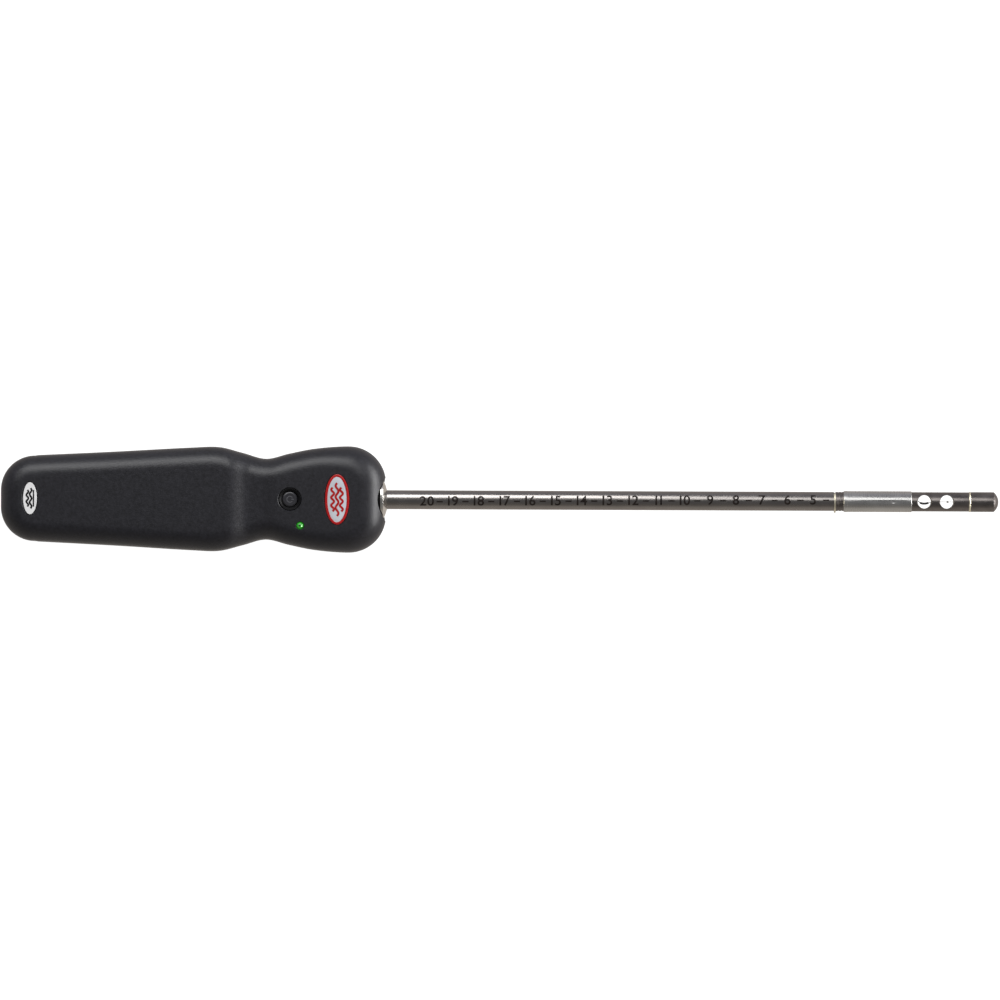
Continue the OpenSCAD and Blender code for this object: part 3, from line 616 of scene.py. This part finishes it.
def upper_shell():
    shell = half_shell("upper_housing", 1)
    posts, bores = upper_bosses()
    carve(shell, posts + bulkhead(AXIS_Z, BULKHEAD_TOP), "UNION")
    hole_foot = HEAD_H - HOLE_DEPTH
    carve(shell, bores + nose_cutters() + [
        mouth(button_at.x, button_at.y, BEZEL_HOLE_R, hole_foot, HEAD_H + SKIM, flare=0.35),
        mouth(led_at.x, led_at.y, LED_HOLE_R, hole_foot, crest(led_at.x) + SKIM, flare=0.2),
        oval_mouth(BADGE_X, *BADGE_POCKET, badge_low.z - 0.03, crest(BADGE_X) + 0.03, flare=0.3),
        oval_mouth(LABEL_X, *LABEL_POCKET, label_low.z - 0.02, GRIP_H + SKIM, flare=0.2),
    ])
    show(shell, "housing", "housing_plastic", "upper_shell")


def door_prism(grow, high):
    """Cutter with the door's rounded outline, grown all round, from below the handle up to high."""
    steps = 10
    reach = DOOR_CORNER + grow
    verts = []
    for z in (-1, high):
        for cx, cy, first in ((door_high.x, door_high.y, 0), (door_low.x, door_high.y, 90),
                              (door_low.x, door_low.y, 180), (door_high.x, door_low.y, 270)):
            ox = cx - math.copysign(DOOR_CORNER, cx - (door_low.x + door_high.x) / 2)
            oy = cy - math.copysign(DOOR_CORNER, cy)
            for k in range(steps + 1):
                turn = math.radians(first + 90 * k / steps)
                verts.append((ox + reach * math.cos(turn), oy + reach * math.sin(turn), z))
    around = 4 * (steps + 1)
    faces = grid_faces(2, around) + [tuple(range(around)), tuple(range(around, 2 * around))]
    return mesh_piece("cutter", verts, faces)


def lower_shell():
    shell = half_shell("lower_housing", -1)
    posts, bores = [], []
    for side in (-1, 1):
        for x, y in (TAIL_SCREW, HEAD_SCREW):
            posts.append(pin("post", x, side * y, LOWER_BOSS_FOOT, AXIS_Z, LOWER_BOSS_R, steps=64))
            bores.append(counterbore(x, side * y, LOWER_WELL, AXIS_Z + 1))
    carve(shell, posts + bulkhead(BULKHEAD_FOOT, AXIS_Z), "UNION")
    carve(shell, bores + nose_cutters() + [door_prism(DOOR_GAP, DOOR_TOP + DOOR_GAP)])
    show(shell, "housing", "housing_plastic", "lower_shell")


def groove_cutter(x, half_y, radius):
    """A round bar along Y at the resting face."""
    steps = 32
    turns = [2 * math.pi * k / steps for k in range(steps)]
    verts = [(x + radius * math.cos(t), y, radius * math.sin(t)) for y in (-half_y, half_y) for t in turns]
    faces = grid_faces(2, steps) + [tuple(range(steps)), tuple(range(steps, 2 * steps))]
    return mesh_piece("cutter", verts, faces)


def battery_door():
    """The lower shell's surface inside the door's outline, with two screw bosses and finger grooves."""
    door = half_shell("door_panel", -1)
    carve(door, [door_prism(0, DOOR_TOP)], "INTERSECT")
    carve(door, [pin("post", x, 0, DOOR_BOSS_FOOT, DOOR_BOSS_TOP, DOOR_BOSS_R, steps=64)
                 for x in DOOR_SCREW_X], "UNION")
    carve(door, [counterbore(x, 0, DOOR_WELL, DOOR_BORE_TOP) for x in DOOR_SCREW_X])
    carve(door, [groove_cutter(door_low.x + GROOVE_INSET + GROOVE_PITCH * k, GROOVE_HALF_Y, GROOVE_R)
                 for k in range(GROOVES)])
    show(door, "battery_door", "housing_plastic", "battery_door")


# ---------------------------------------------------------------- controls

BEZEL_FOOT_R, BEZEL_R, BEZEL_BORE_R = 5.4, 4.35, 3.15
CAP_R, CAP_FOOT_R, CAP_FOOT_T = 2.9, 4.2, 0.75
# Keeps the pressed cap just off the switch
CAP_CLEAR = 0.03
CAP_DISH = 0.09
SYMBOL_R, SYMBOL_W = 1.15, 0.26
LED_R, LED_FOOT_R, LED_FOOT_T = 1.5, 1.9, 0.8
led_low, led_high = span("status_led")


def button_bezel():
    """The dished ring that the button sits in."""
    low, top = (corner.z for corner in span("button_bezel"))
    shoulder = top - 2.13
    bezel = turned("button_bezel_ring", [
        (low, BEZEL_FOOT_R), (shoulder, BEZEL_FOOT_R), (shoulder, BEZEL_R), (top, BEZEL_R - 0.05),
        (top, 4.02), (top - 0.55, 3.4), (top - 0.75, BEZEL_BORE_R), (top - 2.8, BEZEL_BORE_R),
        (low, BEZEL_BORE_R)], BEZEL, axis="z", at=(button_at.x, button_at.y), round_to=0.15)
    show(bezel, "housing", "bezel_plastic", "button_bezel")


def button_cap():
    low, top = (corner.z for corner in span("power_button"))
    foot, shoulder = low + CAP_CLEAR, low + CAP_FOOT_T
    cap = turned("button_cap", [
        (foot, 0), (foot, CAP_FOOT_R), (shoulder, CAP_FOOT_R), (shoulder, CAP_R), (top - 0.25, CAP_R),
        (top, CAP_R - 0.5), (top - 0.06, 1.2), (top - CAP_DISH, 0)], BUTTON, axis="z",
        at=(button_at.x, button_at.y), round_to=0.2)
    show(cap, "power_button", "button_plastic", "power_button")


def stroke(name, path, width, z0, z1, finish):
    """A flat ribbon of even width along a path of (x, y) points."""
    points = np.array(path, float)
    n = len(points)
    verts = []
    for k in range(n):
        a, b = points[max(k - 1, 0)], points[min(k + 1, n - 1)]
        ahead = (b - a) / np.linalg.norm(b - a)
        side = np.array((-ahead[1], ahead[0])) * width / 2
        for s, z in ((1, z0), (1, z1), (-1, z1), (-1, z0)):
            verts.append((*(points[k] + s * side), z))
    faces = grid_faces(n, 4) + [(0, 1, 2, 3), tuple(range(4 * n - 4, 4 * n))]
    return mesh_piece(name, verts, faces, finish)


def power_symbol():
    """An open circle and a bar on the cap."""
    face = span("power_button")[1].z - CAP_DISH
    arc = [(button_at.x + SYMBOL_R * math.cos(math.radians(a)), SYMBOL_R * math.sin(math.radians(a)))
           for a in range(35, 326, 10)]
    bar_path = [(button_at.x + 0.5, 0), (button_at.x + 1.55, 0)]
    symbol = stroke("power_symbol", arc, SYMBOL_W, face - 0.1, face + 0.05, SYMBOL)
    bar = stroke("power_symbol_bar", bar_path, SYMBOL_W, face - 0.1, face + 0.05, SYMBOL)
    show(symbol, "power_button", "button_plastic")
    show(bar, "power_button", "button_plastic")


def dome_spot(name, dx, dy, half_x, half_y, finish):
    """A thin patch that follows the light's dome."""
    verts, rings, steps = [], 6, 32
    for level in (0.015, -0.05):
        for i in range(rings):
            s = (i + 1) / rings
            for k in range(steps):
                turn = 2 * math.pi * k / steps
                x, y = dx + s * half_x * math.cos(turn), dy + s * half_y * math.sin(turn)
                z = led_high.z - LED_R + math.sqrt(max(0.0, LED_R ** 2 - x * x - y * y)) + level
                verts.append((led_at.x + x, led_at.y + y, z))
    side = rings * steps
    faces = grid_faces(rings, steps) + grid_faces(rings, steps, offset=side)
    faces += [tuple(range(steps)), tuple(range(side, side + steps))]
    a, b = side - steps, 2 * side - steps
    faces += [(a + k, a + (k + 1) % steps, b + (k + 1) % steps, b + k) for k in range(steps)]
    return mesh_piece(name, verts, faces, finish)


def status_light():
    """The green light, with its dark die and a painted highlight: a small pale patch on its dome that glows.
    """
    shoulder = led_low.z + LED_FOOT_T
    dome = [(led_high.z - LED_R + LED_R * math.sin(math.radians(a)), LED_R * math.cos(math.radians(a)))
            for a in range(0, 90, 9)]
    foot = [(led_low.z, 0), (led_low.z, LED_FOOT_R), (shoulder, LED_FOOT_R), (shoulder, LED_R)]
    led = turned("green_light", foot + dome + [(led_high.z, 0)], GREEN, axis="z", at=(led_at.x, led_at.y),
                 round_to=0)
    show(led, "housing", "led_green", "status_led")
    show(dome_spot("light_die", -0.1, 0.1, 0.42, 0.42, DIE), "housing", "led_green")
    # Painted highlight: a glowing pale patch laid on the dome where its glint would be
    show(dome_spot("light_painted_glint", 0.62, -0.2, 0.26, 0.3, PAINTED_GLINT), "housing", "led_green")


# ---------------------------------------------------------------- badge and label

RIM_W = 0.96
BADGE_WAVE_X, BADGE_WAVES, BADGE_WAVE_H, BADGE_WAVE_W = 1.7, 3, 0.55, 0.85
LABEL_WAVES, LABEL_WAVE_H, LABEL_WAVE_W = 2.5, 0.38, 0.72
LINE_X, LINE_HALF, LINE_W = 1.35, 3.2, 0.55


def wave_path(x, waves, height, reach):
    """A sine wave along Y, as far as reach on both sides of the centre line."""
    steps = 48
    return [(x + height * math.sin(2 * math.pi * waves * t / steps), reach * (2 * t / steps - 1))
            for t in range(steps + 1)]


def front_badge():
    """The oval badge: a red rim, a pale field and three plain waves."""
    base, rise = badge_low.z, badge_high.z
    rim = oval("badge_rim", BADGE_X, *BADGE_HALF, [
        (0, base), (0, rise - 0.12), (0.06, rise - 0.03), (0.2, rise + 0.02), (0.85, rise + 0.02),
        (0.98, rise - 0.03), (1.02, rise - 0.12), (1.02, base)], RED)
    show(rim, "housing", "badge_red", "front_badge")
    field = oval("badge_field", BADGE_X, BADGE_HALF[0] - RIM_W, BADGE_HALF[1] - RIM_W, [
        (0, base), (0, rise - 0.1), (0.15, rise - 0.06), (1.2, rise - 0.01), (2.4, rise + 0.01)], FIELD)
    show(field, "housing", "badge_red")
    for k, (offset, reach) in enumerate(((-BADGE_WAVE_X, 4.6), (0.0, 6.4), (BADGE_WAVE_X, 4.6))):
        path = wave_path(BADGE_X + offset, BADGE_WAVES, BADGE_WAVE_H, reach)
        line = stroke(f"badge_wave_{k}", path, BADGE_WAVE_W, rise - 0.15, rise + 0.04, RED)
        show(line, "housing", "badge_red")


def tail_label():
    """The oval label: a white plate with two plain waves over a line."""
    top = label_high.z - 0.02
    label = oval("label_plate", LABEL_X, *LABEL_HALF, [
        (0, label_low.z), (0, top - 0.06), (0.06, top), (1.4, top)], LABEL)
    show(label, "housing", "label_white", "tail_label")
    for k, (offset, reach) in enumerate(((-1.0, 3.2), (0.25, 3.9))):
        path = wave_path(LABEL_X + offset, LABEL_WAVES, LABEL_WAVE_H, reach)
        line = stroke(f"label_wave_{k}", path, LABEL_WAVE_W, top - 0.1, top + 0.015, LABEL_INK)
        show(line, "housing", "label_white")
    ground = [(LABEL_X + LINE_X, -LINE_HALF), (LABEL_X + LINE_X, LINE_HALF)]
    line = stroke("label_line", ground, LINE_W, top - 0.1, top + 0.015, LABEL_INK)
    show(line, "housing", "label_white")


# ---------------------------------------------------------------- collar, shaft and sensor head

shaft_low, shaft_high = span("probe_shaft")
head_low, head_high = span("sensor_head")
SHAFT_R = (shaft_high.y - shaft_low.y) / 2
BORE_R = SHAFT_R - 0.5
HEAD_R = (head_high.y - head_low.y) / 2
COLLAR_BORE_R, COLLAR_BACK_R, COLLAR_NECK_R, COLLAR_DOME_H = SHAFT_R + 0.02, 7.0, 5.6, 1.9
CABLE_R, CARRIER_R, CLIP_GROOVE, RING_GROOVE_R, RING_HALF = 1.6, 3.1, 0.3, 2.9, 0.45
SCORES, SCORE_L, SCORE_EDGE, SCORE_DEPTH = (325.1, 326.3), 0.5, 0.1, 0.14
WINDOWS, WINDOW_R, WINDOW_EDGE = (358.7, 367.4), 2.6, 0.34
SLEEVE_BORE_R = HEAD_R + 0.06
DIMPLE_R, DIMPLE_DEPTH, DIMPLE_AT = 3.0, 0.14, (346.7, -0.1)
SPIGOT_R, SPIGOT_BORE_R = 1.5, 1.55
END_EDGE, END_H = 0.3, 1.5


def cap_sphere(radius, height):
    """Radius of the sphere whose cap has this radius and height."""
    return (radius ** 2 + height ** 2) / (2 * height)


def nose_collar():
    """The bright collar, with a low dome in front of its flange."""
    low, high = span("nose_collar")
    flange_r = (high.y - low.y) / 2
    sphere_r = cap_sphere(flange_r, COLLAR_DOME_H)
    end = math.sqrt(sphere_r ** 2 - COLLAR_BORE_R ** 2)
    front = [(high.x + (math.sqrt(sphere_r ** 2 - r * r) - end), r)
             for r in np.linspace(flange_r, SHAFT_R + 0.05, 14)]
    back = BULKHEAD[0] - 0.1
    collar = turned("shaft_collar", [
        (low.x, COLLAR_BORE_R), (low.x, COLLAR_BACK_R), (back, COLLAR_BACK_R), (back, COLLAR_NECK_R),
        (FLANGE_X, COLLAR_NECK_R), (FLANGE_X, flange_r)] + front, COLLAR, at=(0, AXIS_Z), round_to=0.12,
        angle=28)
    show(collar, "housing", "collar_steel", "nose_collar")


def probe_shaft():
    between = [(x, SHAFT_R) for x in np.linspace(shaft_low.x, shaft_high.x, 24)[1:-1]]
    shaft = turned("steel_shaft", [(shaft_low.x, BORE_R), (shaft_low.x, SHAFT_R)] + between
                   + [(shaft_high.x, SHAFT_R), (shaft_high.x, BORE_R)], SHAFT, at=(0, AXIS_Z), round_to=0.06)
    show(shaft, "housing", "shaft_steel", "probe_shaft")


def window_cutter(x):
    """A through hole whose edge is broken where it meets the tube."""
    reach, wide = HEAD_R + 1, WINDOW_R + WINDOW_EDGE
    flare = [(WINDOW_EDGE * 1.2, WINDOW_R), (0, wide)]
    upper_side = [(AXIS_Z + HEAD_R - 0.02 - a, r) for a, r in flare]
    lower_side = [(2 * AXIS_Z - z, r) for z, r in reversed(upper_side)]
    profile = [(AXIS_Z - reach, 0), (AXIS_Z - reach, wide)] + lower_side + upper_side
    profile += [(AXIS_Z + reach, wide), (AXIS_Z + reach, 0)]
    return turned("cutter", profile, axis="z", at=(x, 0), round_to=0)


def scored_line(x):
    """Profile of a shallow groove round the head."""
    foot = HEAD_R - SCORE_DEPTH
    return [(x, HEAD_R), (x + SCORE_EDGE, foot), (x + SCORE_L - SCORE_EDGE, foot), (x + SCORE_L, HEAD_R)]


def sensor_tube():
    """The dark tube with its clip seat, two scored lines, friction ring groove and two windows."""
    ring_mid = middle("sleeve_friction_ring").x
    ring_0, ring_1 = ring_mid - RING_HALF, ring_mid + RING_HALF
    seat = span("sensor_carrier")[0].x - 0.1
    step, clip_end = shaft_high.x + 0.02, span("shaft_clip")[1].x + 0.05
    neck_r, clip_r = BORE_R - 0.03, HEAD_R - CLIP_GROOVE
    profile = [(head_low.x, CABLE_R), (head_low.x, neck_r), (step, neck_r), (step, clip_r),
               (clip_end, clip_r), (clip_end, HEAD_R)]
    for x in SCORES:
        profile += scored_line(x)
    profile += [(ring_0, HEAD_R), (ring_0, RING_GROOVE_R), (ring_1, RING_GROOVE_R), (ring_1, HEAD_R),
                (head_high.x, HEAD_R), (head_high.x, CARRIER_R), (seat, CARRIER_R), (seat, CABLE_R)]
    head = turned("sensor_tube", profile, SENSOR, at=(0, AXIS_Z), round_to=0.05)
    carve(head, [window_cutter(x) for x in WINDOWS], angle=30)
    show(head, "housing", "sensor_steel", "sensor_head")


def sliding_guard():
    """The bright sleeve, with a band at its back end and a shallow dimple on top."""
    low, high = span("guard_sleeve")
    band_r = (high.y - low.y) / 2
    sleeve_r = band_r - 0.05
    x0, x1 = low.x, high.x
    sleeve = turned("sliding_guard", [
        (x0, SLEEVE_BORE_R), (x0, sleeve_r - 0.1), (x0 + 0.15, band_r), (x0 + 1.2, band_r),
        (x0 + 1.35, sleeve_r), (x1 - 0.15, sleeve_r), (x1, sleeve_r - 0.15), (x1, SLEEVE_BORE_R)], SLEEVE,
        at=(0, AXIS_Z), round_to=0.05)
    dimple_z = AXIS_Z + sleeve_r + DIMPLE_R - DIMPLE_DEPTH
    ball = [(dimple_z - DIMPLE_R * math.cos(math.radians(a)), DIMPLE_R * math.sin(math.radians(a)))
            for a in range(0, 91, 3)]
    carve(sleeve, [turned("cutter", ball + [(dimple_z, 0)], axis="z", at=DIMPLE_AT, round_to=0)])
    show(sleeve, "guard_sleeve", "sleeve_steel", "guard_sleeve")


def front_ring():
    """The thin crowned ring in front of the windows."""
    low, high = span("tip_ring")
    ring_r = (high.y - low.y) / 2
    crown = [(low.x + t * (high.x - low.x), ring_r - 0.2 * (2 * t - 1) ** 2) for t in np.linspace(0, 1, 9)]
    ring_piece = turned("front_ring", [(low.x, SPIGOT_BORE_R)] + crown + [(high.x, SPIGOT_BORE_R)], RING,
                        at=(0, AXIS_Z), round_to=0)
    show(ring_piece, "housing", "ring_metal", "tip_ring")


def end_cap():
    """The tip's cap with its low dome, and the spigot behind it."""
    low, high = span("tip_cap")
    tip_r = (high.y - low.y) / 2
    end_r = tip_r - END_EDGE
    sphere_r = cap_sphere(end_r, END_H)
    dome = [(high.x - sphere_r + math.sqrt(sphere_r ** 2 - r * r), r) for r in np.linspace(end_r, 0, 14)]
    dome[-1] = (high.x, 0.0)
    cap_start = span("tip_ring")[1].x + 0.05
    tip = turned("end_cap", [
        (low.x, 0), (low.x, SPIGOT_R), (cap_start, SPIGOT_R), (cap_start, tip_r),
        (high.x - END_H - 0.25, tip_r)] + dome, SENSOR, at=(0, AXIS_Z), round_to=0.08)
    show(tip, "housing", "sensor_steel", "tip_cap")


# ---------------------------------------------------------------- depth marks

MARK_ZERO = WINDOWS[1] - 1.9
PITCH = 10.0
FIRST_NUMBER, LAST_NUMBER = 20, 5
DIGIT_SIZE = 5.4
DIGIT_BOLD = 0.08
ADVANCE = {"1": 1.9}
WIDE_ADVANCE = 2.95
DASH_L, DASH_W = 2.4, 0.55
DRIFT_START, DRIFT_RUN = -0.7, 1.15
INK_T = 0.02
WRAP_STEP = 0.25


def wrap(mesh, x, y):
    """Lays a flat mesh in millimetres round the top of the shaft, shifted to (x, y)."""
    bm = bmesh.new()
    bm.from_mesh(mesh)
    bmesh.ops.remove_doubles(bm, verts=bm.verts, dist=1e-4)
    low = min(v.co.y for v in bm.verts)
    high = max(v.co.y for v in bm.verts)
    for k in range(1, int((high - low) / WRAP_STEP)):
        geometry = list(bm.verts) + list(bm.edges) + list(bm.faces)
        cut_at = (0, low + WRAP_STEP * k, 0)
        bmesh.ops.bisect_plane(bm, geom=geometry, plane_co=cut_at, plane_no=(0, 1, 0), dist=1e-5)
    for v in bm.verts:
        turn = (v.co.y + y) / SHAFT_R
        radius = SHAFT_R + v.co.z
        v.co = Vector((v.co.x + x, radius * math.sin(turn), AXIS_Z + radius * math.cos(turn))) * MM
        v.co.x += TAIL
    bm.to_mesh(mesh)
    bm.free()


def flat_text(words, size):
    """Plain characters as a flat closed mesh, centred."""
    curve = bpy.data.curves.new("characters", "FONT")
    curve.body = words
    curve.size = size
    curve.align_x = "CENTER"
    curve.align_y = "CENTER"
    curve.extrude = INK_T
    curve.offset = DIGIT_BOLD
    curve.resolution_u = 6
    holder = bpy.data.objects.new("characters", curve)
    bpy.context.scene.collection.objects.link(holder)
    made = as_mesh(holder)
    bpy.data.objects.remove(holder)
    bpy.data.curves.remove(curve)
    return made


def flat_dash(length, width):
    """A flat closed bar, centred."""
    corners = box_points((-length / 2, length / 2), (-width / 2, width / 2), (-INK_T, INK_T))
    made = bpy.data.meshes.new("dash")
    made.from_pydata(corners, [], BOX_FACES)
    return made


def number_marks(number):
    """The flat dash and digits of one depth mark, each with its shift along the shaft."""
    digits = str(number)
    advances = [ADVANCE.get(d, WIDE_ADVANCE) for d in digits]
    pen = -sum(advances) / 2
    flat = [(flat_dash(DASH_L, DASH_W), PITCH / 2)]
    for digit, advance in zip(digits, advances):
        flat.append((flat_text(digit, DIGIT_SIZE), pen + advance / 2))
        pen += advance
    return flat


def depth_scale():
    """Numbers and dashes printed along the shaft, which drift slowly across it."""
    marks = bmesh.new()
    for number in range(FIRST_NUMBER, LAST_NUMBER - 1, -1):
        drift = DRIFT_START + DRIFT_RUN * (FIRST_NUMBER - number) / (FIRST_NUMBER - LAST_NUMBER)
        for made, shift in number_marks(number):
            wrap(made, MARK_ZERO - PITCH * number + shift, drift)
            marks.from_mesh(made)
            bpy.data.meshes.remove(made)
    mark_mesh = bpy.data.meshes.new("depth_marks")
    bmesh.ops.recalc_face_normals(marks, faces=marks.faces)
    marks.to_mesh(mark_mesh)
    marks.free()
    mark_mesh.materials.append(INK)
    depth_marks = bpy.data.objects.new("depth_marks", mark_mesh)
    bpy.context.scene.collection.objects.link(depth_marks)
    show(depth_marks, "housing", "shaft_steel")


# ---------------------------------------------------------------- floor, light and camera

FLOOR_HALF = 6.0
FLOOR_DROP = 0.0002


def plain(name, colour, emit):
    """An even, rough finish that also glows white."""
    m = bpy.data.materials.new(name)
    m.use_nodes = True
    shader = m.node_tree.nodes["Principled BSDF"]
    shader.inputs["Base Color"].default_value = rgb(colour)
    shader.inputs["Roughness"].default_value = 0.9
    shader.inputs["Emission Color"].default_value = (1, 1, 1, 1)
    shader.inputs["Emission Strength"].default_value = emit
    return m


def pale_floor():
    """A plain floor just under the object, which stays out of its reflections."""
    w = FLOOR_HALF
    floor_mesh = bpy.data.meshes.new("floor")
    floor_mesh.from_pydata([(-w, -w, 0), (w, -w, 0), (w, w, 0), (-w, w, 0)], [], [(0, 1, 2, 3)])
    floor_mesh.materials.append(plain("floor_white", (0.2, 0.2, 0.2), 1.0))
    floor = bpy.data.objects.new("floor", floor_mesh)
    bpy.context.scene.collection.objects.link(floor)
    floor.location.z = -FLOOR_DROP
    floor.visible_glossy = False


def softbox(name, at, towards, size, power):
    """A rectangular area light, with places and sizes in metres."""
    light = bpy.data.lights.new(name, "AREA")
    light.shape = "RECTANGLE"
    light.size, light.size_y = size
    light.energy = power
    lamp = bpy.data.objects.new(name, light)
    bpy.context.scene.collection.objects.link(lamp)
    lamp.location = at
    lamp.rotation_euler = (Vector(towards) - Vector(at)).to_track_quat("-Z", "Y").to_euler()


def lights():
    softbox("key_light", (-0.195, 0.35, 0.35), (-0.195, 0, 0.01), (0.51, 0.26), 1.95)
    softbox("end_light", (0.20, 0.46, 0.82), (0.20, 0, 0.01), (0.28, 0.45), 0.85)
    softbox("nose_light", (0.80, 0.13, 0.20), (-0.05, 0, 0.012), (0.8, 0.34), 9.0)


def ramp_of(nodes, links, height, stops):
    """A colour ramp over the height of the view direction, which runs from -1 to 1."""
    ramp = nodes.new("ShaderNodeValToRGB")
    span_up = nodes.new("ShaderNodeMapRange")
    span_up.inputs["From Min"].default_value = -1.0
    links.new(height, span_up.inputs["Value"])
    links.new(span_up.outputs["Result"], ramp.inputs["Fac"])
    band = ramp.color_ramp.elements
    while len(band) < len(stops):
        band.new(1.0)
    for element, (at, colour) in zip(band, stops):
        element.position = (at + 1) / 2
        element.color = rgb(colour)
    return ramp.outputs["Color"]


def studio():
    """Surroundings that are dark overhead and lighter towards the horizon, warmer on the -Y side."""
    world = bpy.data.worlds.new("studio")
    bpy.context.scene.world = world
    world.use_nodes = True
    nodes, links = world.node_tree.nodes, world.node_tree.links
    direction = nodes.new("ShaderNodeTexCoord")
    parts = nodes.new("ShaderNodeSeparateXYZ")
    links.new(direction.outputs["Generated"], parts.inputs["Vector"])
    right = ramp_of(nodes, links, parts.outputs["Z"], [
        (-0.9, (0.50, 0.46, 0.42)), (-0.05, (0.46, 0.43, 0.40)), (0.05, (0.46, 0.43, 0.40)),
        (0.55, (0.21, 0.195, 0.18)), (0.95, (0.15, 0.15, 0.155))])
    left = ramp_of(nodes, links, parts.outputs["Z"], [
        (-0.9, (0.46, 0.42, 0.39)), (-0.05, (0.38, 0.37, 0.39)), (0.05, (0.36, 0.36, 0.40)),
        (0.45, (0.22, 0.22, 0.25)), (0.95, (0.15, 0.15, 0.155))])
    side = nodes.new("ShaderNodeMapRange")
    side.inputs["From Min"].default_value = -0.4
    side.inputs["From Max"].default_value = 0.4
    links.new(parts.outputs["Y"], side.inputs["Value"])
    both = nodes.new("ShaderNodeMix")
    both.data_type = "RGBA"
    links.new(side.outputs["Result"], both.inputs["Factor"])
    links.new(right, both.inputs["A"])
    links.new(left, both.inputs["B"])
    links.new(both.outputs["Result"], nodes["Background"].inputs["Color"])


CAMERA_H = 6.0
CAMERA_X, CAMERA_Y = 0.00015, 0.00005
CAMERA_ROLL = 0.23
SENSOR_W = 36.0
FRAME_MM = 388.5


def overhead_camera():
    """A long lens straight above, with FRAME_MM across the picture at the shaft's height."""
    camera_data = bpy.data.cameras.new("camera")
    camera_data.sensor_width = SENSOR_W
    camera_data.lens = SENSOR_W * (CAMERA_H / MM - AXIS_Z) / FRAME_MM
    camera_data.clip_start = 0.1
    camera = bpy.data.objects.new("camera", camera_data)
    bpy.context.scene.collection.objects.link(camera)
    camera.location = (CAMERA_X, CAMERA_Y, CAMERA_H)
    camera.rotation_euler = (0, 0, math.radians(CAMERA_ROLL))
    bpy.context.scene.camera = camera
    bpy.context.scene.view_settings.view_transform = "Standard"


finish_cad_nodes()
for build in (upper_shell, lower_shell, battery_door, button_bezel, button_cap, power_symbol, status_light,
              front_badge, tail_label, nose_collar, probe_shaft, sensor_tube, sliding_guard, front_ring,
              end_cap, depth_scale, pale_floor, lights, studio, overhead_camera):
    build()
